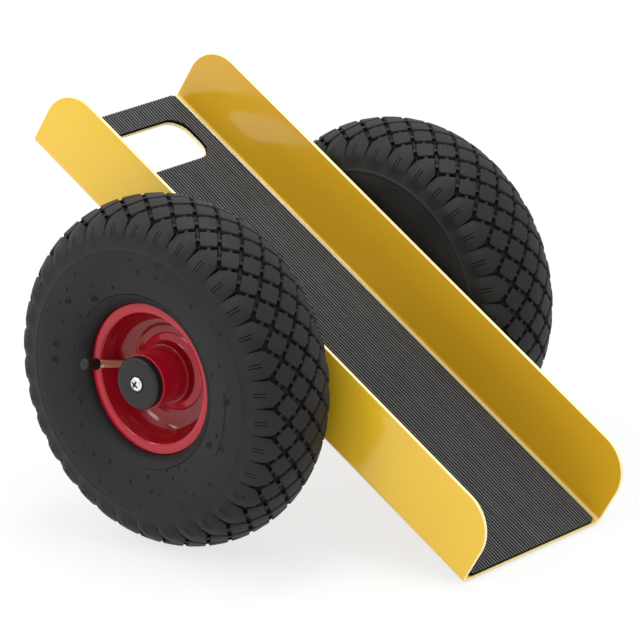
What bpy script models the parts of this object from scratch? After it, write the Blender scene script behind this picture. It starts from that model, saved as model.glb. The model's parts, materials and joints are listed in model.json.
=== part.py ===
# Two-wheeled dolly for carrying boards: a folded steel tray with a rubber mat, on one axle
# with two air-filled wheels. It stands as it rests on a floor, on its lower end and both tyres.
# Metres, +X across the tray, +Y from the lower end to the hand hole, +Z up.

import math

import bmesh
import bpy
from mathutils import Vector

# Tray
SHEET = 0.003
DECK_WIDTH = 0.160
DECK_LENGTH = 0.486
FLANGE_HEIGHT = 0.060
FLANGE_CORNER = 0.030
BEND_RADIUS = 0.004
HAND_HOLE_WIDTH = 0.118
HAND_HOLE_LENGTH = 0.0435
HAND_HOLE_CORNER = 0.0155
HAND_HOLE_BORDER = 0.022

# Mat
MAT_THICKNESS = 0.003
MAT_MARGIN = 0.001
MAT_CORNER = 0.005
MAT_RIBS = 52
MAT_RIB_HEIGHT = 0.0011
MAT_RIB_BASE_SHARE = 0.83
MAT_RIB_TOP_SHARE = 0.45

# Axle
AXLE_POSITION = 0.2608
AXLE_RADIUS = 0.010
AXLE_TUBE_WALL = 0.0015
WELD_LENGTH = 0.150
WELD_DECK_REACH = 0.0115
WELD_TUBE_REACH = 0.0092
WHEEL_OFFSET = 0.1326
WASHER_RADIUS = 0.017
INNER_WASHER_THICKNESS = 0.002
OUTER_WASHER_THICKNESS = 0.0015

# Hub and bearings
HUB_LENGTH = 0.070
HUB_WALL = 0.004
ROLLER_RADIUS = 0.003
ROLLER_COUNT = 7
SAMPLES_PER_ROLLER = 6
BEARING_LENGTH = 0.020
BEARING_CAGE_WALL = 0.0038
SEAL_THICKNESS = 0.003

# Rim, two pressed halves that meet at the middle of the wheel
RIM_SHEET = 0.002
RIM_HALF_WIDTH = 0.0266
RIM_LIP_RADIUS = 0.057
RIM_SEAT_RADIUS = 0.0508
RIM_BOWL_DEPTH = 0.017
RIM_JOINT_RADIUS = 0.034
RIM_BOSS_RADIUS = 0.0295
RIM_BOSS_RISE = 0.0107

# Tyre
TYRE_RADIUS = 0.132
TYRE_WIDTH = 0.085
TYRE_WALL = 0.0055
SIDEWALL_HEIGHT = 0.0355
BEAD_WIDTH = 0.006
TREAD_DEPTH = 0.0035
TREAD_GROOVE = 0.003
TREAD_REPEATS = 34
TREAD_ROWS = 6
TREAD_ROW_SPACING = 0.0096
SHOULDER_LUG_LENGTH = 0.022
TUBE_WALL = 0.002
TUBE_RIM_CLEARANCE = 0.003
TUBE_SIDE_CLEARANCE = 0.0009

# Valve, which leans sideways and a little outwards
VALVE_INSET = 0.0073
VALVE_TURN = math.radians(220.6)
VALVE_SIDE_LEAN = -0.239
VALVE_OUT_LEAN = 0.04
VALVE_STEM_RADIUS = 0.00225
VALVE_TIP = 0.039
VALVE_BEND = 0.006
VALVE_CAP_START = 0.032
VALVE_CAP_LENGTH = 0.018
VALVE_CAP_RADIUS = 0.0046
VALVE_CAP_EDGE = 0.0009
VALVE_HOLE_CLEARANCE = 0.00045

# End cap and its screw
END_CAP_RADIUS = 0.0198
END_CAP_THICKNESS = 0.0065
END_CAP_EDGE = 0.0012
SCREW_RADIUS = 0.003
SCREW_LENGTH = 0.018
SCREW_HEAD_RADIUS = 0.00525
SCREW_HEAD_HEIGHT = 0.0036
SCREW_SEAT_DEPTH = 0.0012
SCREW_SEAT_RADIUS = 0.006
CROSS_LENGTH = 0.0056
CROSS_WIDTH = 0.0012
CROSS_DEPTH = 0.0018

# Clearances: between pieces that touch or turn on each other, and past a cut's faces
GAP = 0.0003
CUT_MARGIN = 0.004

# Turn of both wheels on the axle, and the number of flats on round pieces
WHEEL_TURN = math.radians(-3.4)
ROUND_STEPS = 20
SMALL_STEPS = 12
BEND_STEPS = 4
CORNER_STEPS = 8
BOWL_STEPS = 3
SIDEWALL_STEPS = 3
WHEEL_STEPS = TREAD_REPEATS
TUBE_STEPS = WHEEL_STEPS // 2
TUBE_SECTION_STEPS = 8
SHARP_ANGLE = math.radians(35)

# Sizes that follow from those above
deck_half = DECK_WIDTH / 2
mat_top = GAP + MAT_THICKNESS
mat_half = deck_half - BEND_RADIUS - MAT_MARGIN
rib_pitch = 2 * mat_half / MAT_RIBS
rib_base = rib_pitch * MAT_RIB_BASE_SHARE
rib_top = rib_pitch * MAT_RIB_TOP_SHARE
axle_tube_bore = AXLE_RADIUS + GAP
axle_tube_radius = axle_tube_bore + AXLE_TUBE_WALL
axle_drop = SHEET + GAP + axle_tube_radius
hub_half = HUB_LENGTH / 2
hub_bore = AXLE_RADIUS + 2 * ROLLER_RADIUS + 2 * GAP
hub_radius = hub_bore + HUB_WALL
inner_washer_end = hub_half + GAP + INNER_WASHER_THICKNESS
axle_tube_half = WHEEL_OFFSET - inner_washer_end - GAP
cap_back = hub_half + GAP
cap_front = cap_back + END_CAP_THICKNESS
washer_front = cap_back + OUTER_WASHER_THICKNESS
axle_end = washer_front + GAP
cap_floor = axle_end + GAP
screw_seat = cap_front - SCREW_SEAT_DEPTH
screw_start = screw_seat + GAP
screw_bore = SCREW_RADIUS + GAP
rim_hole = hub_radius + GAP
rim_back = GAP / 2
rim_front = rim_back + RIM_SHEET
valve_radius = RIM_SEAT_RADIUS - VALVE_INSET
tyre_half = TYRE_WIDTH / 2
widest_radius = RIM_LIP_RADIUS + SIDEWALL_HEIGHT
carcass_height = TYRE_RADIUS - TREAD_DEPTH - widest_radius
row_turn = TREAD_ROW_SPACING / ((tyre_half + carcass_height) / 2)
tread_edge = row_turn * TREAD_ROWS / 2
lug_edge = tread_edge + SHOULDER_LUG_LENGTH / ((tyre_half + carcass_height) / 2)

# The tray leans on the edge of its lower end until both tyres meet the floor
axle_reach = math.hypot(AXLE_POSITION, axle_drop - SHEET)
tray_tilt = math.asin(TYRE_RADIUS / axle_reach) + math.atan2(axle_drop - SHEET, AXLE_POSITION)
tilt_cos = math.cos(tray_tilt)
tilt_sin = math.sin(tray_tilt)
lower_reach = (FLANGE_CORNER * tilt_cos - (FLANGE_HEIGHT - FLANGE_CORNER) * tilt_sin
               - FLANGE_CORNER)
upper_reach = DECK_LENGTH * tilt_cos + SHEET * tilt_sin
deck_origin = (0.0, -(lower_reach + upper_reach) / 2, SHEET * tilt_cos)


def clear_scene():
    for item in list(bpy.data.objects):
        bpy.data.objects.remove(item, do_unlink=True)


def make_finish(name, colour, roughness, metallic):
    finish = bpy.data.materials.new(name)
    finish.use_nodes = True
    shader = finish.node_tree.nodes["Principled BSDF"]
    shader.inputs["Base Color"].default_value = (*colour, 1.0)
    shader.inputs["Roughness"].default_value = roughness
    shader.inputs["Metallic"].default_value = metallic
    return finish


def make_frame(name, parent=None, location=(0.0, 0.0, 0.0), rotation=(0.0, 0.0, 0.0)):
    frame = bpy.data.objects.new(name, None)
    bpy.context.scene.collection.objects.link(frame)
    frame.parent = parent
    frame.location = location
    frame.rotation_euler = rotation
    return frame


def place(name, data, parent, location=(0.0, 0.0, 0.0), rotation=(0.0, 0.0, 0.0)):
    piece = bpy.data.objects.new(name, data)
    bpy.context.scene.collection.objects.link(piece)
    piece.parent = parent
    piece.location = location
    piece.rotation_euler = rotation
    return piece


def finish_mesh(bm, name, finish=None, smooth=False):
    mesh = bpy.data.meshes.new(name)
    bm.to_mesh(mesh)
    bm.free()
    if finish:
        mesh.materials.append(finish)
    if smooth:
        mesh.shade_smooth()
        mesh.set_sharp_from_angle(angle=SHARP_ANGLE)
    return mesh


# Points on an arc of an ellipse or a circle, both ends included
def arc(centre, radii, start, end, steps):
    points = []
    for step in range(steps + 1):
        angle = math.radians(start + (end - start) * step / steps)
        points.append((centre[0] + radii[0] * math.cos(angle), centre[1] + radii[1] * math.sin(angle)))
    return points


def circle_arc(centre, radius, start, end, steps):
    return arc(centre, (radius, radius), start, end, steps)


def rounded_rectangle(low, high, radius):
    points = []
    for x, y, start in ((high[0], high[1], 0), (low[0], high[1], 90),
                        (low[0], low[1], 180), (high[0], low[1], 270)):
        centre_x = x - radius if x == high[0] else x + radius
        centre_y = y - radius if y == high[1] else y + radius
        points += circle_arc((centre_x, centre_y), radius, start, start + 90, CORNER_STEPS)
    return points


# A closed outline carried from start to end along one axis
def prism(name, outline, axis, start, end, finish=None, smooth=False):
    order = {"X": lambda a, b, c: (c, a, b), "Y": lambda a, b, c: (a, c, b), "Z": lambda a, b, c: (a, b, c)}
    bm = bmesh.new()
    ring = [bm.verts.new(order[axis](a, b, start)) for a, b in outline]
    face = bm.faces.new(ring)
    moved = bmesh.ops.extrude_face_region(bm, geom=[face])
    travel = Vector(order[axis](0.0, 0.0, end - start))
    tops = [item for item in moved["geom"] if isinstance(item, bmesh.types.BMVert)]
    bmesh.ops.translate(bm, verts=tops, vec=travel)
    bmesh.ops.recalc_face_normals(bm, faces=bm.faces)
    return finish_mesh(bm, name, finish, smooth)


# A profile of (along, radius) points turned about the X axis. A closed profile makes a ring,
# and one that starts and ends on the axis makes a solid bar.
def turned(name, profile, steps, finish=None):
    bm = bmesh.new()
    points = [bm.verts.new((along, 0.0, radius)) for along, radius in profile]
    edges = [bm.edges.new(pair) for pair in zip(points, points[1:])]
    if profile[0][1] > 0.0:
        edges.append(bm.edges.new((points[-1], points[0])))
    bmesh.ops.spin(bm, geom=points + edges, cent=(0.0, 0.0, 0.0), axis=(1.0, 0.0, 0.0),
                   angle=2 * math.pi, steps=steps, use_merge=True)
    bmesh.ops.remove_doubles(bm, verts=bm.verts, dist=1e-6)
    bmesh.ops.recalc_face_normals(bm, faces=bm.faces)
    return finish_mesh(bm, name, finish, smooth=True)


def ring_profile(start, end, bore, radius):
    return [(start, bore), (start, radius), (end, radius), (end, bore)]


def cut(piece, cutter, operation="DIFFERENCE"):
    modifier = piece.modifiers.new(cutter.name, "BOOLEAN")
    modifier.operation = operation
    modifier.solver = "EXACT"
    modifier.object = cutter


def make_cutter(name, mesh, parent, location=(0.0, 0.0, 0.0), rotation=(0.0, 0.0, 0.0)):
    cutter = place(name, mesh, parent, location, rotation)
    cutter.hide_render = True
    cutter.display_type = "WIRE"
    return cutter


def build_tray(deck, finishes):
    inner = BEND_RADIUS
    outer = BEND_RADIUS + SHEET
    open_top = FLANGE_HEIGHT + CUT_MARGIN
    left_bend = (-deck_half + BEND_RADIUS, BEND_RADIUS)
    right_bend = (deck_half - BEND_RADIUS, BEND_RADIUS)
    section = [(-deck_half - SHEET, open_top)]
    section += circle_arc(left_bend, outer, 180, 270, BEND_STEPS)
    section += circle_arc(right_bend, outer, 270, 360, BEND_STEPS)
    section += [(deck_half + SHEET, open_top), (deck_half, open_top)]
    section += circle_arc(right_bend, inner, 360, 270, BEND_STEPS)
    section += circle_arc(left_bend, inner, 270, 180, BEND_STEPS)
    section += [(-deck_half, open_top)]
    folded = prism("tray", section, "Y", -CUT_MARGIN, DECK_LENGTH + CUT_MARGIN, finishes["yellow"], True)
    tray = place("tray", folded, deck)

    below = -SHEET - CUT_MARGIN
    corner_height = FLANGE_HEIGHT - FLANGE_CORNER
    side = [(0.0, below), (DECK_LENGTH, below)]
    side += circle_arc((DECK_LENGTH - FLANGE_CORNER, corner_height), FLANGE_CORNER, 0, 90, CORNER_STEPS)
    side += circle_arc((FLANGE_CORNER, corner_height), FLANGE_CORNER, 90, 180, CORNER_STEPS)
    reach = deck_half + SHEET + CUT_MARGIN
    trim = make_cutter("tray_side_shape", prism("tray_side_shape", side, "X", -reach, reach), deck)
    cut(tray, trim, "INTERSECT")

    hole_end = DECK_LENGTH - HAND_HOLE_BORDER
    hole = rounded_rectangle((-HAND_HOLE_WIDTH / 2, hole_end - HAND_HOLE_LENGTH),
                             (HAND_HOLE_WIDTH / 2, hole_end), HAND_HOLE_CORNER)
    hole_mesh = prism("hand_hole_shape", hole, "Z", below, mat_top + CUT_MARGIN)
    hand_hole = make_cutter("hand_hole_shape", hole_mesh, deck)
    cut(tray, hand_hole)

    build_mat(deck, hand_hole, finishes["mat"])


# A sheet whose ribs run its whole length, trimmed to its outline and pierced by the hand hole
def build_mat(deck, hand_hole, finish):
    groove_floor = mat_top - MAT_RIB_HEIGHT
    reach = mat_half + CUT_MARGIN
    section = [(-reach, groove_floor), (-reach, GAP), (reach, GAP), (reach, groove_floor)]
    for rib in reversed(range(MAT_RIBS)):
        middle = (rib + 0.5) * rib_pitch - mat_half
        section += [(middle + rib_base / 2, groove_floor), (middle + rib_top / 2, mat_top),
                    (middle - rib_top / 2, mat_top), (middle - rib_base / 2, groove_floor)]
    ribs = prism("ribbed_mat", section, "Y", -CUT_MARGIN, DECK_LENGTH + CUT_MARGIN, finish)
    mat = place("ribbed_mat", ribs, deck)

    outline = rounded_rectangle((-mat_half, MAT_MARGIN), (mat_half, DECK_LENGTH - MAT_MARGIN), MAT_CORNER)
    trim_mesh = prism("mat_outline", outline, "Z", -CUT_MARGIN, mat_top + CUT_MARGIN)
    cut(mat, make_cutter("mat_outline", trim_mesh, deck), "INTERSECT")
    cut(mat, hand_hole)


def build_axle(axle, finishes):
    tube = ring_profile(-axle_tube_half, axle_tube_half, axle_tube_bore, axle_tube_radius)
    place("axle_tube", turned("axle_tube", tube, ROUND_STEPS, finishes["yellow"]), axle)

    end = WHEEL_OFFSET + axle_end
    bore_end = WHEEL_OFFSET + screw_start - SCREW_LENGTH - GAP
    bar = [(-bore_end, 0.0), (-bore_end, screw_bore), (-end, screw_bore), (-end, AXLE_RADIUS),
           (end, AXLE_RADIUS), (end, screw_bore), (bore_end, screw_bore), (bore_end, 0.0)]
    place("axle_bar", turned("axle_bar", bar, ROUND_STEPS, finishes["zinc"]), axle)

    # A fillet weld fills the corner between the tube and the underside of the deck
    root = axle_tube_radius + GAP
    deck_face = axle_tube_radius
    toe_angle = math.degrees(math.asin(WELD_TUBE_REACH / root))
    start_angle = math.degrees(math.acos((deck_face - GAP / 2) / root))
    bead = circle_arc((0.0, 0.0), root, 90 - start_angle, 90 - toe_angle, BEND_STEPS)
    bead += [(WELD_DECK_REACH, deck_face)]
    weld = prism("axle_weld", bead, "X", -WELD_LENGTH / 2, WELD_LENGTH / 2, finishes["yellow"])
    place("upper_axle_weld", weld, axle)
    place("lower_axle_weld", weld, axle, rotation=(0.0, 0.0, math.pi))


def rim_profile():
    bowl_centre = (rim_front + RIM_BOWL_DEPTH, RIM_JOINT_RADIUS)
    front_seat = RIM_SEAT_RADIUS - RIM_SHEET
    slope = (RIM_BOSS_RISE - rim_front) / (RIM_BOSS_RADIUS - rim_hole)
    boss_wall = RIM_SHEET * math.hypot(1.0, slope)
    front_radii = (RIM_BOWL_DEPTH, front_seat - RIM_JOINT_RADIUS)
    back_radii = (RIM_BOWL_DEPTH + RIM_SHEET, RIM_SEAT_RADIUS - RIM_JOINT_RADIUS)
    points = [(RIM_BOSS_RISE, rim_hole), (rim_front, RIM_BOSS_RADIUS)]
    points += arc(bowl_centre, front_radii, 180, 90, BOWL_STEPS)
    points += [(RIM_HALF_WIDTH - RIM_SHEET / 2, front_seat), (RIM_HALF_WIDTH, RIM_SEAT_RADIUS),
               (RIM_HALF_WIDTH, RIM_LIP_RADIUS), (RIM_HALF_WIDTH - RIM_SHEET, RIM_LIP_RADIUS),
               (RIM_HALF_WIDTH - RIM_SHEET, RIM_SEAT_RADIUS)]
    points += arc(bowl_centre, back_radii, 90, 180, BOWL_STEPS)
    points += [(rim_back, RIM_BOSS_RADIUS - RIM_SHEET / 2), (RIM_BOSS_RISE - boss_wall, rim_hole)]
    return points


# A roller bearing as one ring: the cage, swelling in and out wherever a roller lies
def bearing_mesh(finish):
    pitch = AXLE_RADIUS + GAP + ROLLER_RADIUS
    cage_inner = pitch - BEARING_CAGE_WALL / 2
    cage_outer = pitch + BEARING_CAGE_WALL / 2
    samples = ROLLER_COUNT * SAMPLES_PER_ROLLER
    loops = ([], [])
    for sample in range(samples):
        angle = 2 * math.pi * sample / samples
        offset = (sample % SAMPLES_PER_ROLLER) * 2 * math.pi / samples
        offset = min(offset, 2 * math.pi / ROLLER_COUNT - offset)
        reach = ROLLER_RADIUS ** 2 - (pitch * math.sin(offset)) ** 2
        inner = cage_inner
        outer = cage_outer
        if reach > 0.0:
            inner = min(inner, pitch * math.cos(offset) - math.sqrt(reach))
            outer = max(outer, pitch * math.cos(offset) + math.sqrt(reach))
        for loop, radius in zip(loops, (inner, outer)):
            loop.append((radius * math.sin(angle), radius * math.cos(angle)))
    bm = bmesh.new()
    ends = []
    for along in (-BEARING_LENGTH / 2, BEARING_LENGTH / 2):
        ends.append([[bm.verts.new((along, *point)) for point in loop] for loop in loops])
    bands = ((ends[0][0], ends[0][1]), (ends[0][1], ends[1][1]), (ends[1][1], ends[1][0]),
             (ends[1][0], ends[0][0]))
    for first, second in bands:
        for index in range(samples):
            after = (index + 1) % samples
            bm.faces.new((first[index], first[after], second[after], second[index]))
    bmesh.ops.recalc_face_normals(bm, faces=bm.faces)
    return finish_mesh(bm, "bearing", finish, smooth=True)


# A point of the tyre's carcass, by its angle from the crown
def carcass_point(angle, inset=0.0):
    return ((tyre_half - inset) * math.sin(angle), widest_radius + (carcass_height - inset) * math.cos(angle))


# One side of the tyre's wall, from below the shoulder lugs round the bead to the middle inside
def tyre_wall():
    bead_face = RIM_HALF_WIDTH - RIM_SHEET - GAP
    bead_top = RIM_LIP_RADIUS + GAP
    bead_seat = RIM_SEAT_RADIUS + GAP
    lip_clear = RIM_HALF_WIDTH + GAP
    bead_inside = bead_face - BEAD_WIDTH
    points = arc((lip_clear, widest_radius), (tyre_half - lip_clear, widest_radius - bead_top), 0, -90,
                 SIDEWALL_STEPS)
    points += [(bead_face, bead_top), (bead_face, bead_seat), (bead_inside, bead_seat)]
    inside = (tyre_half - TYRE_WALL - bead_inside, widest_radius - bead_top)
    points += arc((bead_inside, widest_radius), inside, -90, 0, SIDEWALL_STEPS)
    points.append(carcass_point(math.radians(45), TYRE_WALL))
    return points


def tyre_mesh(finish):
    bm = bmesh.new()
    steps = 2 * TREAD_REPEATS

    def ring_vertex(point, step):
        angle = 2 * math.pi * step / steps
        along, radius = point
        return bm.verts.new((along, -radius * math.sin(angle), radius * math.cos(angle)))

    # Diamonds between the nodes of a staggered lattice
    lattice = {}
    for row in range(TREAD_ROWS + 1):
        point = carcass_point((row - TREAD_ROWS / 2) * row_turn)
        for step in range(row % 2, steps, 2):
            lattice[row, step] = ring_vertex(point, step)
    blocks = []
    for row in range(1, TREAD_ROWS):
        for step in range((row + 1) % 2, steps, 2):
            before = (step - 1) % steps
            after = (step + 1) % steps
            corners = ((row, before), (row - 1, step), (row, after), (row + 1, step))
            blocks.append([bm.faces.new([lattice[corner] for corner in corners])])

    # Pointed shoulder lugs run down from the outer diamonds on both sides
    upper = [carcass_point(side * lug_edge) for side in (1, -1)]
    lug_rings = [[ring_vertex(point, step) for step in range(0, steps, 2)] for point in upper]
    for ring, edge_row, next_row in ((lug_rings[0], TREAD_ROWS, TREAD_ROWS - 1), (lug_rings[1], 0, 1)):
        for index in range(TREAD_REPEATS):
            step = 2 * index + 1
            after = (index + 1) % TREAD_REPEATS
            near = lattice[edge_row, step - 1]
            far = lattice[edge_row, (step + 1) % steps]
            point_face = bm.faces.new((lattice[next_row, step], near, far))
            body_face = bm.faces.new((near, ring[index], ring[after], far))
            blocks.append([point_face, body_face])

    wall = tyre_wall()
    middle = [carcass_point(0.0, TYRE_WALL)]
    path = wall + middle + [(-along, radius) for along, radius in reversed(wall)]
    rings = [[ring_vertex(point, step) for step in range(0, steps, 2)] for point in path]
    rings = [lug_rings[0]] + rings + [lug_rings[1]]
    for first, second in zip(rings, rings[1:]):
        for index in range(TREAD_REPEATS):
            after = (index + 1) % TREAD_REPEATS
            bm.faces.new((first[index], first[after], second[after], second[index]))

    bmesh.ops.recalc_face_normals(bm, faces=bm.faces)
    for block in blocks:
        bmesh.ops.inset_region(bm, faces=block, thickness=TREAD_GROOVE / 2, depth=TREAD_DEPTH,
                               use_even_offset=True)
    return finish_mesh(bm, "tyre", finish, smooth=True)


# The inner tube follows the inside of the tyre and of the rim, and is hollow
def inner_tube_mesh(finish):
    flat_share = math.cos(math.pi / WHEEL_STEPS)
    half_width = tyre_half - TYRE_WALL - TUBE_SIDE_CLEARANCE
    top_height = (widest_radius + carcass_height - TYRE_WALL) * flat_share - GAP - widest_radius
    bottom_height = widest_radius - RIM_SEAT_RADIUS - TUBE_RIM_CLEARANCE
    bm = bmesh.new()
    for inset in (0.0, TUBE_WALL):
        ring = []
        for point in range(TUBE_SECTION_STEPS):
            angle = 2 * math.pi * point / TUBE_SECTION_STEPS
            height = top_height if math.cos(angle) > 0.0 else bottom_height
            along = (half_width - inset) * math.sin(angle)
            ring.append(bm.verts.new((along, 0.0, widest_radius + (height - inset) * math.cos(angle))))
        edges = [bm.edges.new((ring[index - 1], point)) for index, point in enumerate(ring)]
        bmesh.ops.spin(bm, geom=ring + edges, cent=(0.0, 0.0, 0.0), axis=(1.0, 0.0, 0.0),
                       angle=2 * math.pi, steps=TUBE_STEPS, use_merge=True)
    bmesh.ops.recalc_face_normals(bm, faces=bm.faces)
    return finish_mesh(bm, "inner_tube", finish, smooth=True)


def valve_place(along):
    outward = Vector((0.0, math.cos(VALVE_TURN), math.sin(VALVE_TURN)))
    sideways = Vector((0.0, -math.sin(VALVE_TURN), math.cos(VALVE_TURN)))
    return (Vector((along, 0.0, 0.0)) + outward * (valve_radius + VALVE_OUT_LEAN * along)
            + sideways * VALVE_SIDE_LEAN * along)


def build_valve(side, wheel, finishes, rim_half, tube):
    outward = Vector((0.0, math.cos(VALVE_TURN), math.sin(VALVE_TURN)))
    direction = (valve_place(1.0) - valve_place(0.0)).normalized()
    lean = direction.to_track_quat("X", "Z").to_euler()
    knee = valve_place(-VALVE_BEND / 3)
    before = valve_place(VALVE_BEND * 2 / 3)
    beyond = knee + outward * VALVE_BEND
    tube_bottom = RIM_SEAT_RADIUS + TUBE_RIM_CLEARANCE
    foot = knee + outward * (tube_bottom + 2 * TUBE_WALL - valve_radius)

    route = [valve_place(VALVE_TIP), before]
    for step in range(1, BEND_STEPS + 1):
        share = step / BEND_STEPS
        route.append(before.lerp(knee, share).lerp(knee.lerp(beyond, share), share))
    route.append(foot)
    line = bpy.data.curves.new(f"{side}_valve_stem", "CURVE")
    line.dimensions = "3D"
    line.bevel_depth = VALVE_STEM_RADIUS
    line.bevel_resolution = 2
    line.use_fill_caps = True
    spline = line.splines.new("POLY")
    spline.points.add(len(route) - 1)
    for point, position in zip(spline.points, route):
        point.co = (*position, 1.0)
    line.materials.append(finishes["brass"])
    place(f"{side}_valve_stem", line, wheel)

    hole = VALVE_STEM_RADIUS + VALVE_HOLE_CLEARANCE
    drill = turned("valve_drill", [(-VALVE_BEND / 2, 0.0), (-VALVE_BEND / 2, hole),
                                   (RIM_HALF_WIDTH, hole), (RIM_HALF_WIDTH, 0.0)], SMALL_STEPS)
    rim_drill = make_cutter(f"{side}_rim_drill", drill, wheel, valve_place(0.0), lean)
    cut(rim_half, rim_drill)
    tube_drill = make_cutter(f"{side}_tube_drill", drill, wheel, knee + outward * VALVE_BEND,
                             outward.to_track_quat("X", "Z").to_euler())
    cut(tube, tube_drill)

    bore = VALVE_STEM_RADIUS + GAP
    bore_end = VALVE_TIP - VALVE_CAP_START + 2 * GAP
    edge = VALVE_CAP_EDGE
    cap = [(bore_end, 0.0), (bore_end, bore), (0.0, bore), (0.0, VALVE_CAP_RADIUS - edge / 2),
           (edge, VALVE_CAP_RADIUS), (VALVE_CAP_LENGTH - edge, VALVE_CAP_RADIUS),
           (VALVE_CAP_LENGTH, VALVE_CAP_RADIUS - edge), (VALVE_CAP_LENGTH, 0.0)]
    mesh = turned("valve_cap", cap, SMALL_STEPS, finishes["plastic"])
    place(f"{side}_valve_cap", mesh, wheel, valve_place(VALVE_CAP_START), lean)


def build_wheel(side, wheel, meshes, finishes):
    place(f"{side}_tyre", meshes["tyre"], wheel)
    tube = place(f"{side}_inner_tube", meshes["inner_tube"], wheel)
    rim_half = place(f"{side}_rim_outer_half", meshes["rim_half"], wheel)
    place(f"{side}_rim_inner_half", meshes["rim_half"], wheel, rotation=(0.0, 0.0, math.pi))
    place(f"{side}_hub_tube", meshes["hub_tube"], wheel)
    seal_middle = hub_half - GAP - SEAL_THICKNESS / 2
    bearing_middle = seal_middle - SEAL_THICKNESS / 2 - GAP - BEARING_LENGTH / 2
    for position, sign in (("outer", 1), ("inner", -1)):
        place(f"{side}_{position}_seal", meshes["seal"], wheel, (sign * seal_middle, 0.0, 0.0))
        place(f"{side}_{position}_bearing", meshes["bearing"], wheel, (sign * bearing_middle, 0.0, 0.0))
    build_valve(side, wheel, finishes, rim_half, tube)


def screw_mesh(finish):
    length = SCREW_LENGTH
    head = SCREW_HEAD_HEIGHT
    edge = head / 3
    profile = [(-length, 0.0), (-length, SCREW_RADIUS), (0.0, SCREW_RADIUS), (0.0, SCREW_HEAD_RADIUS),
               (head - 2 * edge, SCREW_HEAD_RADIUS), (head - edge / 2, SCREW_HEAD_RADIUS - edge),
               (head, SCREW_HEAD_RADIUS - 2 * edge), (head, 0.0)]
    return turned("cap_screw", profile, SMALL_STEPS, finish)


def build_axle_end(side, end_frame, meshes):
    place(f"{side}_inner_washer", meshes["inner_washer"], end_frame)
    place(f"{side}_outer_washer", meshes["outer_washer"], end_frame)
    place(f"{side}_end_cap", meshes["end_cap"], end_frame)
    screw = place(f"{side}_cap_screw", meshes["cap_screw"], end_frame, (screw_start, 0.0, 0.0))
    head_top = screw_start + SCREW_HEAD_HEIGHT
    cross = make_cutter(f"{side}_cross_shape", meshes["cross"], end_frame, (head_top, 0.0, 0.0))
    cut(screw, cross)


def wheel_meshes(finishes):
    wall_start = -hub_half - GAP - INNER_WASHER_THICKNESS
    edge = END_CAP_EDGE
    washer_room = WASHER_RADIUS + GAP
    cap = [(cap_floor, screw_bore), (cap_floor, washer_room), (cap_back, washer_room),
           (cap_back, END_CAP_RADIUS), (cap_front - edge, END_CAP_RADIUS),
           (cap_front - edge / 3, END_CAP_RADIUS - edge / 3), (cap_front, END_CAP_RADIUS - edge),
           (cap_front, SCREW_SEAT_RADIUS), (screw_seat, SCREW_SEAT_RADIUS), (screw_seat, screw_bore)]
    seal = ring_profile(-SEAL_THICKNESS / 2, SEAL_THICKNESS / 2, AXLE_RADIUS + GAP, hub_bore - GAP)
    inner_washer = ring_profile(wall_start, -hub_half - GAP, AXLE_RADIUS + GAP, WASHER_RADIUS)
    outer_washer = ring_profile(cap_back, washer_front, AXLE_RADIUS + GAP, WASHER_RADIUS)
    arm = CROSS_LENGTH / 2
    slot = CROSS_WIDTH / 2
    cross = [(slot, slot), (slot, arm), (-slot, arm), (-slot, slot), (-arm, slot), (-arm, -slot),
             (-slot, -slot), (-slot, -arm), (slot, -arm), (slot, -slot), (arm, -slot), (arm, slot)]
    hub = ring_profile(-hub_half, hub_half, hub_bore, hub_radius)
    return {
        "tyre": tyre_mesh(finishes["tyre"]),
        "inner_tube": inner_tube_mesh(finishes["butyl"]),
        "rim_half": turned("rim_half", rim_profile(), WHEEL_STEPS, finishes["red"]),
        "hub_tube": turned("hub_tube", hub, ROUND_STEPS, finishes["red"]),
        "bearing": bearing_mesh(finishes["nylon"]),
        "seal": turned("seal", seal, ROUND_STEPS, finishes["butyl"]),
        "inner_washer": turned("inner_washer", inner_washer, ROUND_STEPS, finishes["zinc"]),
        "outer_washer": turned("outer_washer", outer_washer, ROUND_STEPS, finishes["zinc"]),
        "end_cap": turned("end_cap", cap, ROUND_STEPS, finishes["plastic"]),
        "cap_screw": screw_mesh(finishes["zinc"]),
        "cross": prism("cross", cross, "X", -CROSS_DEPTH, CUT_MARGIN),
    }


def main():
    clear_scene()
    finishes = {
        "yellow": make_finish("yellow_powder_coat", (0.75, 0.42, 0.045), 0.35, 0.0),
        "mat": make_finish("mat_rubber", (0.022, 0.022, 0.023), 0.6, 0.0),
        "tyre": make_finish("tyre_rubber", (0.03, 0.03, 0.031), 0.65, 0.0),
        "butyl": make_finish("butyl_rubber", (0.015, 0.015, 0.015), 0.7, 0.0),
        "red": make_finish("red_enamel", (0.32, 0.008, 0.015), 0.25, 0.0),
        "zinc": make_finish("zinc_plate", (0.72, 0.72, 0.71), 0.3, 1.0),
        "brass": make_finish("brass", (0.75, 0.58, 0.3), 0.3, 1.0),
        "plastic": make_finish("black_plastic", (0.035, 0.035, 0.034), 0.45, 0.0),
        "nylon": make_finish("bearing_cage", (0.6, 0.58, 0.5), 0.5, 0.0),
    }
    deck = make_frame("deck_frame", None, deck_origin, (tray_tilt, 0.0, 0.0))
    axle = make_frame("axle_frame", deck, (0.0, AXLE_POSITION, -axle_drop))
    build_tray(deck, finishes)
    build_axle(axle, finishes)
    meshes = wheel_meshes(finishes)
    for side, sign, heading in (("left", -1, math.pi), ("right", 1, 0.0)):
        centre = (sign * WHEEL_OFFSET, 0.0, 0.0)
        wheel = make_frame(f"{side}_wheel_frame", axle, centre, (WHEEL_TURN, 0.0, heading))
        end_frame = make_frame(f"{side}_axle_end", axle, centre, (0.0, 0.0, heading))
        build_wheel(side, wheel, meshes, finishes)
        build_axle_end(side, end_frame, meshes)


main()
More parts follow.
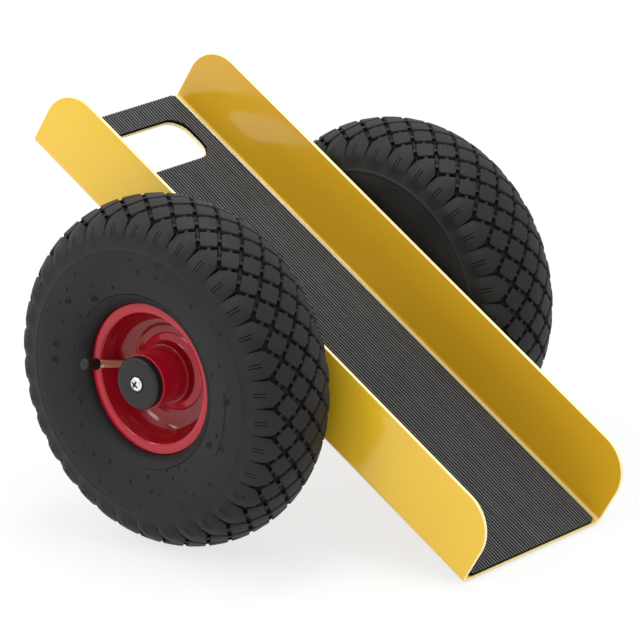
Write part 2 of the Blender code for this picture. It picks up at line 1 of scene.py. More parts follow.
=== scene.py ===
# Looks of the panel dolly: a folded yellow tray with a ribbed rubber mat, on two air-filled
# tyres with red pressed rims. Metres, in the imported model's own frame: +X across the tray,
# +Y towards the hand hole, +Z up.

import json
import math

import bmesh
import bpy
import numpy as np
from mathutils import Matrix, Vector


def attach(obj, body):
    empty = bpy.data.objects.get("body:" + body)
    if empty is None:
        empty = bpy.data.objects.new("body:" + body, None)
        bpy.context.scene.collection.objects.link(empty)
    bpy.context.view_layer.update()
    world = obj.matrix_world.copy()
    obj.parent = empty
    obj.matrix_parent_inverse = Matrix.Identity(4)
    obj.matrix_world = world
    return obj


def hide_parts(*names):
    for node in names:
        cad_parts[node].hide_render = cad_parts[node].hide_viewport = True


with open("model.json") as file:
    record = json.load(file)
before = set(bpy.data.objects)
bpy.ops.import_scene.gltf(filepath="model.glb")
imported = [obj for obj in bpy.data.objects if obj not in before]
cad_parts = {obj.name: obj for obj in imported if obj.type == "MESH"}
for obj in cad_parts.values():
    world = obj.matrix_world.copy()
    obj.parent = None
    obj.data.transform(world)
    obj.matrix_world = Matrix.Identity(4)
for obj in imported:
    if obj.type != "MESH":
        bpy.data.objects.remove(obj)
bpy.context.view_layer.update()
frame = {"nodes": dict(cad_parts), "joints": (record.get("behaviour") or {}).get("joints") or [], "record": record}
record = frame["record"]
gap = 0.0003    # between pieces that touch
print("frame loaded:", len(frame["nodes"]), "nodes")


# Where the pieces go

mounts = {mount["name"]: mount for mount in record["mounts"]}
joints = {joint["child"]: joint for joint in frame["joints"]}
xAxis = Vector((1.0, 0.0, 0.0))
deckNormal = Vector(mounts["panel_bed"]["axis"]).normalized()
deckAlong = deckNormal.cross(xAxis)
trayTilt = math.atan2(deckAlong.z, deckAlong.y)

tray = {
    "sheet": 0.003,
    "width": 0.160,
    "length": 0.486,
    "flangeHeight": 0.060,
    "flangeCorner": 0.030,
    "bendRadius": 0.004,
    "edgeRadius": 0.0007,
    "edgeSteps": 3,
    "edgeAngle": math.radians(50),
    "holeWidth": 0.118,
    "holeLength": 0.0435,
    "holeCorner": 0.0155,
    "holeBorder": 0.022,
    "bendSteps": 10,
    "bendHighlight": 0.60,
    "bendNarrowness": 5,
    "paleFade": 0.0002,
    "cornerSteps": 28,
}


# The deck's own axes: x across, y up the slope from the lower end, z square to the sheet
def findDeck():
    corners = np.array([vertex.co for vertex in frame["nodes"]["tray"].data.vertices])
    low = (corners @ np.array(deckAlong)).min()
    under = (corners @ np.array(deckNormal)).min()
    origin = deckAlong * low + deckNormal * (under + tray["sheet"])
    turn = Matrix((xAxis, deckAlong, deckNormal)).transposed().to_4x4()
    return Matrix.Translation(origin) @ turn


# A wheel's own axes: x outwards along the axle, turned with the tray's slope
def findHub(side):
    centre = Vector(joints[side + "_wheel"]["pos_m"])
    heading = math.pi if side == "left" else 0.0
    return (Matrix.Translation(centre) @ Matrix.Rotation(trayTilt, 4, "X")
            @ Matrix.Rotation(heading, 4, "Z"))


deck = findDeck()


# Mesh helpers

def linked(name, data):
    item = bpy.data.objects.new(name, data)
    bpy.context.scene.collection.objects.link(item)
    return item


def linkPiece(name, mesh, material, place=None):
    if place is not None:
        mesh.transform(place)
    mesh.materials.clear()
    mesh.materials.append(material)
    return linked(name, mesh)


# A finished piece: its surface, the body that carries it and the node that it stands for
def addPiece(name, mesh, slot, body, node, place):
    piece = linkPiece(name, mesh, finishes[slot], place)
    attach(piece, body)
    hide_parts(node)


def meshFrom(name, points, faces):
    mesh = bpy.data.meshes.new(name)
    mesh.from_pydata([tuple(point) for point in points], [], faces)
    mesh.update()
    return mesh


# One mesh made of several, its normals outward
def joined(name, *meshes):
    bm = bmesh.new()
    for mesh in meshes:
        bm.from_mesh(mesh)
        bpy.data.meshes.remove(mesh)
    bmesh.ops.recalc_face_normals(bm, faces=bm.faces)
    mesh = bpy.data.meshes.new(name)
    bm.to_mesh(mesh)
    bm.free()
    return mesh


def smoothed(mesh, angle=40):
    mesh.shade_smooth()
    mesh.set_sharp_from_angle(angle=math.radians(angle))
    return mesh


# A number at each vertex, which the finishes read by its name
def marked(mesh, name, valueAt):
    attribute = mesh.attributes.new(name, "FLOAT", "POINT")
    attribute.data.foreach_set("value", [valueAt(vertex.co) for vertex in mesh.vertices])
    return mesh


# The object's shape with its modifiers worked in, as a plain mesh
def baked(piece, name):
    bpy.context.view_layer.update()
    evaluated = piece.evaluated_get(bpy.context.evaluated_depsgraph_get())
    mesh = bpy.data.meshes.new_from_object(evaluated)
    mesh.name = name
    old = piece.data
    bpy.data.objects.remove(piece)
    if old.users == 0:
        bpy.data.meshes.remove(old)
    return mesh


def booleanCut(piece, cutter, operation="DIFFERENCE"):
    modifier = piece.modifiers.new(cutter.name, "BOOLEAN")
    modifier.operation = operation
    modifier.solver = "EXACT"
    modifier.object = cutter


def removeObjects(*items):
    for item in items:
        bpy.data.objects.remove(item)


# A mesh with another one cut out of it
def carved(name, mesh, cutter, angle=40):
    piece = linked(name, mesh)
    tool = linked(name + "Cutter", cutter)
    booleanCut(piece, tool)
    mesh = smoothed(baked(piece, name), angle)
    removeObjects(tool)
    return mesh


def arcPoints(centre, radii, start, end, steps):
    angles = [math.radians(start + (end - start) * step / steps) for step in range(steps + 1)]
    return [(centre[0] + radii[0] * math.cos(angle), centre[1] + radii[1] * math.sin(angle))
            for angle in angles]


def roundedBox(low, high, radius, steps):
    left, right, bottom, top = low[0] + radius, high[0] - radius, low[1] + radius, high[1] - radius
    outline = []
    for turn, centre in enumerate(((right, top), (left, top), (left, bottom), (right, bottom))):
        outline += arcPoints(centre, (radius, radius), 90 * turn, 90 * turn + 90, steps)
    return outline


# The numbers of points that were listed ring after ring
def inRings(total, count):
    return [range(start, start + count) for start in range(0, total, count)]


# The faces between two rings of points, or between two lines of them
def bridged(first, second, closed=True):
    count = len(first)
    return [(first[index], first[(index + 1) % count], second[(index + 1) % count], second[index])
            for index in range(count if closed else count - 1)]


# Rings of points, each joined to the next, with the first and the last closed
def lofted(name, rings):
    points = [point for ring in rings for point in ring]
    levels = inRings(len(points), len(rings[0]))
    faces = [levels[0], levels[-1]]
    for first, second in zip(levels, levels[1:]):
        faces += bridged(first, second)
    return joined(name, meshFrom(name, points, faces))


# A closed outline carried along one axis
def extruded(name, outline, axis, start, end):
    order = {"X": (2, 0, 1), "Y": (0, 2, 1), "Z": (0, 1, 2)}[axis]
    return lofted(name, [[[(a, b, level)[index] for index in order] for a, b in outline]
                         for level in (start, end)])


def block(name, outline, axis, start, end):
    return linked(name, extruded(name, outline, axis, start, end))


# Rounds the corners of a profile. Each corner is (along, radius, size of its rounding).
def filleted(corners, closed=True, steps=4):
    most = 0.49    # of a side's length, so that two roundings never meet
    points = []
    count = len(corners)
    for index, (along, radius, size) in enumerate(corners):
        here = Vector((along, radius))
        if size == 0.0 or (not closed and index in (0, count - 1)):
            points.append((along, radius))
            continue
        before = Vector(corners[index - 1][:2]) - here
        after = Vector(corners[(index + 1) % count][:2]) - here
        first = here + before.normalized() * min(size, before.length * most)
        last = here + after.normalized() * min(size, after.length * most)
        for step in range(steps + 1):
            share = step / steps
            points.append(tuple(first.lerp(here, share).lerp(here.lerp(last, share), share)))
    return points


# A profile of (along, radius) points turned about the X axis, as a ring or a solid bar
def turned(name, profile, steps=96, flutes=None):
    onAxis = 1e-7
    points = []
    faces = []
    rings = []
    for along, radius in profile:
        if radius <= onAxis:
            rings.append([len(points)] * steps)
            points.append((along, 0.0, 0.0))
            continue
        rings.append(list(range(len(points), len(points) + steps)))
        for step in range(steps):
            angle = 2 * math.pi * step / steps
            reach = radius - (flutes(along, angle) if flutes else 0.0)
            points.append((along, -reach * math.sin(angle), reach * math.cos(angle)))
    pairs = list(zip(rings, rings[1:]))
    if profile[0][1] > onAxis:
        pairs.append((rings[-1], rings[0]))
    for first, second in pairs:
        for corners in bridged(first, second):
            faces.append([corner for place, corner in enumerate(corners) if corner != corners[place - 1]])
    return smoothed(joined(name, meshFrom(name, points, faces)))


# A round tube along a line of points, its ends closed
def swept(name, route, radii, sides=24):
    angles = [2 * math.pi * side / sides for side in range(sides)]
    rings = []
    for index, point in enumerate(route):
        ahead = route[min(index + 1, len(route) - 1)] - route[max(index - 1, 0)]
        turn = ahead.to_track_quat("Z", "Y")
        rings.append([point + turn @ (Vector((math.cos(angle), math.sin(angle), 0.0)) * radii[index])
                      for angle in angles])
    return smoothed(lofted(name, rings))


# Node helpers. An input's value is a number, a colour, a vector or the socket that feeds it.

def addNode(tree, kind, inputs=None, **settings):
    node = tree.nodes.new(kind)
    for name, value in settings.items():
        setattr(node, name, value)
    for label, value in (inputs or {}).items():
        if isinstance(value, bpy.types.NodeSocket):
            tree.links.new(value, node.inputs[label])
        else:
            node.inputs[label].default_value = value
    return node


def mathNode(tree, operation, first, second, clamp=False):
    node = addNode(tree, "ShaderNodeMath", {0: first, 1: second}, operation=operation, use_clamp=clamp)
    return node.outputs[0]


def spreadMask(tree, value, low, high, first=0.0, second=1.0):
    node = addNode(tree, "ShaderNodeMapRange", {
        "Value": value, "From Min": low, "From Max": high, "To Min": first, "To Max": second})
    return node.outputs["Result"]


def mixColours(tree, mask, first, second):
    first, second = [(*colour, 1.0) if isinstance(colour, tuple) else colour for colour in (first, second)]
    return addNode(tree, "ShaderNodeMix", {0: mask, 6: first, 7: second}, data_type="RGBA").outputs[2]


# Noise in the piece's own coordinates, or at the place given
def addNoise(tree, scale, detail, roughness, place=None):
    if place is None:
        place = addNode(tree, "ShaderNodeTexCoord").outputs["Object"]
    return addNode(tree, "ShaderNodeTexNoise", {
        "Vector": place, "Scale": scale, "Detail": detail, "Roughness": roughness}).outputs["Fac"]


# Where each mask starts and ends, then its lowest and highest value if they aren't 0 and 1
spreads = {
    "upward": (0.1, 1.0),
    "specks": (0.35, 0.8),
    "streaks": (0.25, 0.75, 0.6, 1.0),
    "patches": (0.3, 0.7),
    "roughness": (0.25, 0.75),
    "marks": (0.2, 0.8, 0.85, 1.0),
}
# Detail and roughness of each noise
noises = {"grain": (4.0, 0.6), "patches": (5.0, 0.62), "wearAndHighlight": (3.0, 0.7), "specks": (6.0, 0.75)}
edgeMaskBreakup = 0.45    # added to the noise that breaks up the edge wear and the painted edge highlight
ribStretch = 0.12     # makes the scuffs and the painted highlight long along the ribs


# Shared shader groups

def shaderGroup(name, inputs, outputs=("Mask",)):
    group = bpy.data.node_groups.new(name, "ShaderNodeTree")
    for side, labels in (("INPUT", inputs), ("OUTPUT", outputs)):
        for label in labels:
            group.interface.new_socket(label, in_out=side, socket_type="NodeSocketFloat")
    return group, group.nodes.new("NodeGroupInput").outputs, group.nodes.new("NodeGroupOutput").inputs


# Fine grain of a moulded or coated skin, and broad patches that vary its colour
def makeSkinGrain():
    tree, given, out = shaderGroup("skinGrain", ("Grain per metre", "Patches per metre"),
                                   ("Height", "Patches"))
    tree.links.new(addNoise(tree, given["Grain per metre"], *noises["grain"]), out["Height"])
    tree.links.new(addNoise(tree, given["Patches per metre"], *noises["patches"]), out["Patches"])
    return tree


# Worn edges, and a painted highlight along the edges of the yellow coat and the red enamel: where a rounded normal
# leaves the true one, broken up by noise
def makeEdgeWearAndHighlight():
    tree, given, out = shaderGroup("edgeWearAndHighlight", ("Reach", "Gain", "Breakup"))
    rounded = addNode(tree, "ShaderNodeBevel", {"Radius": given["Reach"]}, samples=6)
    shape = addNode(tree, "ShaderNodeNewGeometry")
    match = addNode(tree, "ShaderNodeVectorMath", {0: rounded.outputs["Normal"], 1: shape.outputs["Normal"]},
                    operation="DOT_PRODUCT")
    away = mathNode(tree, "SUBTRACT", 1.0, match.outputs["Value"])
    lifted = mathNode(tree, "MULTIPLY", away, given["Gain"])
    broken = mathNode(tree, "ADD", addNoise(tree, given["Breakup"], *noises["wearAndHighlight"]), edgeMaskBreakup)
    tree.links.new(mathNode(tree, "MULTIPLY", lifted, broken, clamp=True), out["Mask"])
    return tree


# Fine dust that settles on faces that look up
def makeDust():
    tree, given, out = shaderGroup("settledDust", ("Amount", "Specks per metre"))
    shape = addNode(tree, "ShaderNodeNewGeometry")
    parts = addNode(tree, "ShaderNodeSeparateXYZ", {0: shape.outputs["Normal"]})
    upward = spreadMask(tree, parts.outputs["Z"], *spreads["upward"])
    noise = addNoise(tree, given["Specks per metre"], *noises["specks"])
    specks = spreadMask(tree, noise, *spreads["specks"])
    both = mathNode(tree, "MULTIPLY", upward, specks)
    tree.links.new(mathNode(tree, "MULTIPLY", both, given["Amount"], clamp=True), out["Mask"])
    return tree


# Lighter tops of the mat's ribs, scuffs and a painted highlight: by height above the deck, streaked along the ribs
def makeRibScuffAndHighlight():
    tree, given, out = shaderGroup("ribScuffAndHighlight", ("Low", "High", "Grain per metre"))
    back = deck.inverted()
    onDeck = addNode(tree, "ShaderNodeMapping", {
        "Vector": addNode(tree, "ShaderNodeTexCoord").outputs["Object"], "Location": back.to_translation(),
        "Rotation": back.to_euler()}, vector_type="POINT").outputs[0]
    parts = addNode(tree, "ShaderNodeSeparateXYZ", {0: onDeck})
    height = spreadMask(tree, parts.outputs["Z"], given["Low"], given["High"])
    stretch = addNode(tree, "ShaderNodeMapping", {"Vector": onDeck, "Scale": (1.0, ribStretch, 1.0)},
                      vector_type="POINT")
    streaks = addNoise(tree, given["Grain per metre"], *noises["grain"], stretch.outputs[0])
    spread = spreadMask(tree, streaks, *spreads["streaks"])
    tree.links.new(mathNode(tree, "MULTIPLY", height, spread, clamp=True), out["Mask"])
    return tree


skinGrain = makeSkinGrain()
ribScuffAndHighlight = makeRibScuffAndHighlight()
edgeWearAndHighlight = makeEdgeWearAndHighlight()
settledDust = makeDust()


def inputsOf(group):
    return [item for item in group.interface.items_tree if item.in_out == "INPUT"]


# Each of the group's inputs takes the value that the look has under the input's first word
def addGroup(tree, group, look):
    values = {item.name: look[item.name.split()[0].lower()] for item in inputsOf(group)}
    return addNode(tree, "ShaderNodeGroup", values, node_tree=group).outputs


# A finish of two near colours in patches, with grain, and optional edge wear with painted edge highlight, marks of
# painted shade and highlight, scuffs with a painted highlight, and dust
def makeFinish(name, look):
    material = bpy.data.materials.new(name)
    material.use_nodes = True
    tree = material.node_tree
    shader = tree.nodes["Principled BSDF"].inputs
    for label, value in look.get("fixed", {}).items():
        shader[label].default_value = value
    grain = addGroup(tree, skinGrain, look)
    patches = grain["Patches"]
    colour = mixColours(tree, spreadMask(tree, patches, *spreads["patches"]), look["colour"], look["second"])
    rough = spreadMask(tree, patches, *spreads["roughness"], *look["roughness"])
    # Edge wear, which on the yellow coat and the red enamel is a painted highlight
    if "wearAndHighlight" in look:
        mask = addGroup(tree, edgeWearAndHighlight, look["wearAndHighlight"])["Mask"]
        colour = mixColours(tree, mask, colour, look["wearAndHighlight"]["colour"])
    # Marks from the mesh's attributes paint shade and highlight into the colour
    for attribute, shade in look.get("marks", {}).items():
        marks = addNode(tree, "ShaderNodeAttribute", attribute_name=attribute)
        broken = spreadMask(tree, patches, *spreads["marks"])
        share = mathNode(tree, "MULTIPLY", marks.outputs["Fac"], broken, clamp=True)
        colour = mixColours(tree, share, colour, shade)
    # Scuffs on the rib tops, their colour also a painted highlight
    if "scuffAndHighlight" in look:
        scuffAndHighlight = look["scuffAndHighlight"]
        mask = addGroup(tree, ribScuffAndHighlight, scuffAndHighlight)["Mask"]
        colour = mixColours(tree, mask, colour, scuffAndHighlight["colour"])
        matt = mathNode(tree, "MULTIPLY", mathNode(tree, "SUBTRACT", 1.0, mask), scuffAndHighlight["matt"])
        rough = mathNode(tree, "ADD", rough, matt, clamp=True)
        tree.links.new(mathNode(tree, "MULTIPLY", mask, scuffAndHighlight["polish"]), shader["Coat Weight"])
    if "dust" in look:
        mask = addGroup(tree, settledDust, look["dust"])["Mask"]
        colour = mixColours(tree, mask, colour, look["dust"]["colour"])
    bump = addNode(tree, "ShaderNodeBump", {
        "Height": grain["Height"], "Strength": look["bump"], "Distance": look["depth"]})
    for label, value in (("Base Color", colour), ("Roughness", rough), ("Normal", bump.outputs["Normal"])):
        tree.links.new(value, shader[label])
    return material


looks = {
    "yellow_powder_coat": {
        "colour": (0.80, 0.502, 0.022), "second": (0.83, 0.528, 0.028), "roughness": (0.12, 0.18),
        "grain": 420.0, "patches": 9.0, "bump": 0.05, "depth": 0.0004,
        # The edge colour here is a painted highlight along the cut edges
        "wearAndHighlight": {"reach": 0.0008, "gain": 3.0, "breakup": 120.0, "colour": (0.98, 0.86, 0.50)},
        # Marks: painted shade on the flanges' inner faces, painted highlight on the cut edges and inner bends
        "marks": {"paintedInnerShade": (0.68, 0.385, 0.013), "paintedEdgeHighlight": (1.0, 0.90, 0.50)},
        "fixed": {"Specular IOR Level": 0.7},
    },
    "mat_rubber": {
        "colour": (0.003, 0.0032, 0.0036), "second": (0.005, 0.0053, 0.0058), "roughness": (0.22, 0.30),
        "grain": 1500.0, "patches": 30.0, "bump": 0.05, "depth": 0.0003,
        # Lighter rib tops: scuffs and a painted highlight
        "scuffAndHighlight": {"low": 0.0027, "high": 0.0032, "grain": 260.0, "colour": (0.118, 0.126, 0.134),
                  "matt": 0.7, "polish": 0.6},
        "fixed": {"Specular IOR Level": 0.08, "Coat Roughness": 0.28},
    },
    "tyre_rubber": {
        "colour": (0.011, 0.011, 0.0115), "second": (0.018, 0.018, 0.0185), "roughness": (0.50, 0.64),
        "grain": 1800.0, "patches": 26.0, "bump": 0.22, "depth": 0.0004,
        "wearAndHighlight": {"reach": 0.0009, "gain": 0.8, "breakup": 300.0, "colour": (0.055, 0.055, 0.056)},
        "dust": {"amount": 0.08, "specks": 380.0, "colour": (0.10, 0.098, 0.095)},
        # Mark: painted shade on the tread's groove floors
        "marks": {"paintedGrooveShade": (0.003, 0.003, 0.003)},
        "fixed": {"Specular IOR Level": 0.25},
    },
    "butyl_rubber": {
        "colour": (0.014, 0.014, 0.014), "second": (0.020, 0.020, 0.020), "roughness": (0.5, 0.65),
        "grain": 1500.0, "patches": 40.0, "bump": 0.2, "depth": 0.0003,
    },
    "red_enamel": {
        "colour": (0.400, 0.005, 0.018), "second": (0.430, 0.007, 0.022), "roughness": (0.10, 0.16),
        "grain": 300.0, "patches": 14.0, "bump": 0.03, "depth": 0.0003,
        # The edge colour here is a painted highlight along the rim's edges
        "wearAndHighlight": {"reach": 0.0008, "gain": 2.0, "breakup": 150.0, "colour": (0.74, 0.22, 0.24)},
        # Mark: painted shade, darker towards the bowl's bottom
        "marks": {"bowlDepth": (0.250, 0.004, 0.006)},
        "fixed": {"Specular IOR Level": 0.4, "Coat Weight": 0.2, "Coat Roughness": 0.04},
    },
    "zinc_plate": {
        "colour": (0.86, 0.86, 0.85), "second": (0.76, 0.77, 0.78), "roughness": (0.20, 0.32),
        "grain": 1200.0, "patches": 180.0, "bump": 0.12, "depth": 0.0002,
        "wearAndHighlight": {"reach": 0.0004, "gain": 0.8, "breakup": 400.0, "colour": (0.90, 0.90, 0.89)},
        # Mark: painted shade in the screw head's cross recess
        "marks": {"recess": (0.03, 0.03, 0.03)},
        "fixed": {"Metallic": 1.0},
    },
    "brass": {
        "colour": (0.90, 0.74, 0.52), "second": (0.80, 0.63, 0.43), "roughness": (0.16, 0.24),
        "grain": 1500.0, "patches": 260.0, "bump": 0.15, "depth": 0.0002,
        "fixed": {"Metallic": 0.7},
    },
    "black_plastic": {
        "colour": (0.010, 0.010, 0.0098), "second": (0.013, 0.013, 0.0127), "roughness": (0.30, 0.40),
        "grain": 2200.0, "patches": 60.0, "bump": 0.2, "depth": 0.0003,
        "wearAndHighlight": {"reach": 0.0006, "gain": 0.6, "breakup": 350.0, "colour": (0.06, 0.06, 0.06)},
        "fixed": {"Specular IOR Level": 0.35},
    },
    "bearing_cage": {
        "colour": (0.60, 0.57, 0.48), "second": (0.66, 0.63, 0.54), "roughness": (0.4, 0.5),
        "grain": 1200.0, "patches": 90.0, "bump": 0.15, "depth": 0.0002,
    },
}
finishes = {name: makeFinish(name, look) for name, look in looks.items()}
print("finishes made:", len(finishes))


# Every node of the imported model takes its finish. Most are replaced by finer pieces below.
for entry in record["subparts"]:
    node = frame["nodes"][entry["node"]]
    node.data.materials.clear()
    node.data.materials.append(finishes[entry["material_slot"]])


# Geometry Nodes that repeat a piece

def geometryGroup(name, inputs):
    tree = bpy.data.node_groups.new(name, "GeometryNodeTree")
    for label, kind in {"Geometry": "Geometry", **inputs, "Finish": "Material"}.items():
        tree.interface.new_socket(label, in_out="INPUT", socket_type="NodeSocket" + kind)
    tree.interface.new_socket("Geometry", in_out="OUTPUT", socket_type="NodeSocketGeometry")
    return tree, tree.nodes.new("NodeGroupInput").outputs


def addCopies(tree, inputs):
    copies = addNode(tree, "GeometryNodeInstanceOnPoints", inputs)
    return addNode(tree, "GeometryNodeRealizeInstances", {0: copies.outputs["Instances"]}).outputs[0]


# Every group ends with its finish
def closeGroup(tree, given, shape):
    finish = addNode(tree, "GeometryNodeSetMaterial", {"Geometry": shape, "Material": given["Finish"]})
    addNode(tree, "NodeGroupOutput", {0: finish.outputs[0]})
    return tree


# Copies of one piece around the X axis, welded where they meet
def makeRingOfCopies():
    tree, given = geometryGroup("ringOfCopies", {"Copies": "Int", "Weld": "Float"})
    line = addNode(tree, "GeometryNodeMeshLine", {"Count": given["Copies"], "Offset": (0.0, 0.0, 0.0)})
    index = addNode(tree, "GeometryNodeInputIndex")
    share = mathNode(tree, "DIVIDE", index.outputs[0], given["Copies"])
    turn = addNode(tree, "ShaderNodeCombineXYZ", {"X": mathNode(tree, "MULTIPLY", share, 2 * math.pi)})
    real = addCopies(tree, {"Points": line.outputs["Mesh"], "Instance": given["Geometry"],
                            "Rotation": turn.outputs[0]})
    weld = addNode(tree, "GeometryNodeMergeByDistance", {"Geometry": real, "Distance": given["Weld"]})
    return closeGroup(tree, given, weld.outputs[0])


# Copies of one piece in a row across X, then cut to an outline and pierced by a cutter
def makeRowOfCopies():
    tree, given = geometryGroup("rowOfCopies", {
        "Copies": "Int", "Pitch": "Float", "Outline": "Object", "Hole": "Object"})
    less = mathNode(tree, "SUBTRACT", given["Copies"], 1.0)
    width = mathNode(tree, "MULTIPLY", less, given["Pitch"])
    start = addNode(tree, "ShaderNodeCombineXYZ", {"X": mathNode(tree, "MULTIPLY", width, -0.5)})
    step = addNode(tree, "ShaderNodeCombineXYZ", {"X": given["Pitch"]})
    line = addNode(tree, "GeometryNodeMeshLine", {
        "Count": given["Copies"], "Start Location": start.outputs[0], "Offset": step.outputs[0]})
    shape = addCopies(tree, {"Points": line.outputs["Mesh"], "Instance": given["Geometry"]})
    for label, operation, first in (("Outline", "INTERSECT", "Mesh 2"), ("Hole", "DIFFERENCE", "Mesh 1")):
        cutter = addNode(tree, "GeometryNodeObjectInfo", {"Object": given[label]}, transform_space="RELATIVE")
        cutting = addNode(tree, "GeometryNodeMeshBoolean", {first: shape}, operation=operation,
                          solver="EXACT")
        tree.links.new(cutter.outputs["Geometry"], cutting.inputs["Mesh 2"])
        shape = cutting.outputs["Mesh"]
    return closeGroup(tree, given, shape)


# Copies of one small piece strewn over a surface, standing on it
def makeStrewnCopies():
    tree, given = geometryGroup("strewnCopies", {
        "Piece": "Object", "Per square metre": "Float", "Apart": "Float", "Least size": "Float",
        "Seed": "Int"})
    strewn = addNode(tree, "GeometryNodeDistributePointsOnFaces", distribute_method="POISSON")
    for label, source in (("Mesh", "Geometry"), ("Distance Min", "Apart"),
                          ("Density Max", "Per square metre"), ("Seed", "Seed")):
        tree.links.new(given[source], strewn.inputs[label])
    piece = addNode(tree, "GeometryNodeObjectInfo", {"Object": given["Piece"]})
    size = addNode(tree, "FunctionNodeRandomValue", {2: given["Least size"], 3: 1.0, "Seed": given["Seed"]},
                   data_type="FLOAT")
    real = addCopies(tree, {"Points": strewn.outputs["Points"], "Instance": piece.outputs["Geometry"],
                            "Rotation": strewn.outputs["Rotation"], "Scale": size.outputs[1]})
    return closeGroup(tree, given, real)


ringOfCopies = makeRingOfCopies()
rowOfCopies = makeRowOfCopies()
strewnCopies = makeStrewnCopies()


def repeated(name, mesh, group, values):
    source = linked(name, mesh)
    modifier = source.modifiers.new(group.name, "NODES")
    modifier.node_group = group
    for item in inputsOf(group):
        if item.name in values:
            modifier[item.identifier] = values[item.name]
    return baked(source, name)


# Tray

def buildTray():
    size = tray
    half = size["width"] / 2
    sheet = size["sheet"]
    bend = size["bendRadius"]
    margin = 0.004
    top = size["flangeHeight"] + margin
    left, right, steps = (-half + bend, bend), (half - bend, bend), size["bendSteps"]
    outer, inner = (bend + sheet, bend + sheet), (bend, bend)
    section = [(-half - sheet, top)] + arcPoints(left, outer, 180, 270, steps)
    section += arcPoints(right, outer, 270, 360, steps) + [(half + sheet, top), (half, top)]
    section += arcPoints(right, inner, 360, 270, steps) + arcPoints(left, inner, 270, 180, steps)
    section += [(-half, top)]
    body = block("trayBody", section, "Y", -margin, size["length"] + margin)

    corner = size["flangeCorner"]
    level = size["flangeHeight"] - corner
    below = -sheet - margin
    side = [(0.0, below), (size["length"], below)]
    side += arcPoints((size["length"] - corner, level), (corner, corner), 0, 90, size["cornerSteps"])
    side += arcPoints((corner, level), (corner, corner), 90, 180, size["cornerSteps"])
    reach = half + sheet + margin
    shape = block("traySide", side, "X", -reach, reach)
    booleanCut(body, shape, "INTERSECT")
    hole = block("trayHole", holeOutline(), "Z", below, margin)
    booleanCut(body, hole)
    rounding = body.modifiers.new("roundedEdges", "BEVEL")
    rounding.width = size["edgeRadius"]
    rounding.segments = size["edgeSteps"]
    rounding.limit_method = "ANGLE"
    rounding.angle_limit = size["edgeAngle"]
    rounding.use_clamp_overlap = True
    mesh = smoothed(baked(body, "folded_tray"), angle=30)
    # Painted highlight on the sheet's cut edges and inner bends
    marked(mesh, "paintedEdgeHighlight", paintedTrayHighlight)
    # Painted shade on the flanges' inner faces
    marked(mesh, "paintedInnerShade", paintedInnerShade)
    removeObjects(shape, hole)
    addPiece("folded_tray", mesh, "yellow_powder_coat", "dolly_frame", "tray", deck)


# How far a point of the tray lies in from the sheet's inner skin, and where it is in the inner bend
def skinDepth(point):
    bend = tray["bendRadius"]
    across, up = abs(point.x) - tray["width"] / 2 + bend, bend - point.z
    if across > 0 and up > 0:
        return math.hypot(across, up) - bend, math.sin(2 * math.atan2(up, across)) ** tray["bendNarrowness"]
    return (across if up <= 0 else up) - bend, 0.0


onSkin = 0.00005    # a point this near to a skin of the sheet counts as on it


# Painted highlight on the coat: full on the sheet's cut edges, part in its inner bends
def paintedTrayHighlight(point):
    depth, curve = skinDepth(point)
    if depth < onSkin:
        return curve * tray["bendHighlight"]
    return min(1.0, max(0.0, tray["sheet"] - depth - onSkin) / tray["paleFade"])


# Painted shade on the flanges' inner faces, where the deck and the other flange keep light off
def paintedInnerShade(point):
    across = abs(point.x) - tray["width"] / 2 + tray["bendRadius"]
    return min(1.0, max(0.0, across / tray["bendRadius"])) if skinDepth(point)[0] < onSkin else 0.0


def holeOutline():
    end = tray["length"] - tray["holeBorder"]
    half = tray["holeWidth"] / 2
    return roundedBox((-half, end - tray["holeLength"]), (half, end), tray["holeCorner"], 14)


# Mat: a thin sheet with fine ribs that run the length of the deck

mat = {
    "side": 0.001,
    "thickness": 0.003,
    "corner": 0.005,
    "ribs": 52,
    "ribHeight": 0.0011,
    "ribBase": 0.0024,
    "ribTop": 0.0010,
    "ribRounding": 0.00016,
    "ribSunk": 0.0003,
}


def buildMat():
    size = mat
    reach = tray["width"] / 2 - tray["bendRadius"] - size["side"]
    near = size["side"]
    far = tray["length"] - size["side"]
    outline = roundedBox((-reach, near), (reach, far), size["corner"], 8)
    floor = gap
    top = gap + size["thickness"]
    base = top - size["ribHeight"]
    margin = 0.002
    sheet = block("matSheet", outline, "Z", floor, base)
    hole = block("matHole", holeOutline(), "Z", floor - margin, top + margin)
    booleanCut(sheet, hole)
    shape = block("matOutline", outline, "Z", floor + margin / 4, top + margin)
    foot = base - size["ribSunk"]
    lower = size["ribBase"] / 2
    upper = size["ribTop"] / 2
    section = filleted([(-lower, foot, 0.0), (lower, foot, 0.0), (lower, base, 0.0),
                        (upper, top, size["ribRounding"]), (-upper, top, size["ribRounding"]),
                        (-lower, base, 0.0)], steps=2)
    rib = extruded("matRib", section, "Y", near - margin, far + margin)
    pitch = 2 * reach / size["ribs"]
    ribs = repeated("matRibs", rib, rowOfCopies, {
        "Copies": size["ribs"], "Pitch": pitch, "Outline": shape, "Hole": hole,
        "Finish": finishes["mat_rubber"]})
    mesh = smoothed(joined("ribbed_rubber_mat", baked(sheet, "matSheet"), ribs), angle=30)
    removeObjects(shape, hole)
    addPiece("ribbed_rubber_mat", mesh, "mat_rubber", "dolly_frame", "ribbed_mat", deck)


buildTray()
buildMat()
print("tray and mat built")


# Tyre: one pitch of its tread, shoulders, sidewalls and beads, copied around the axle

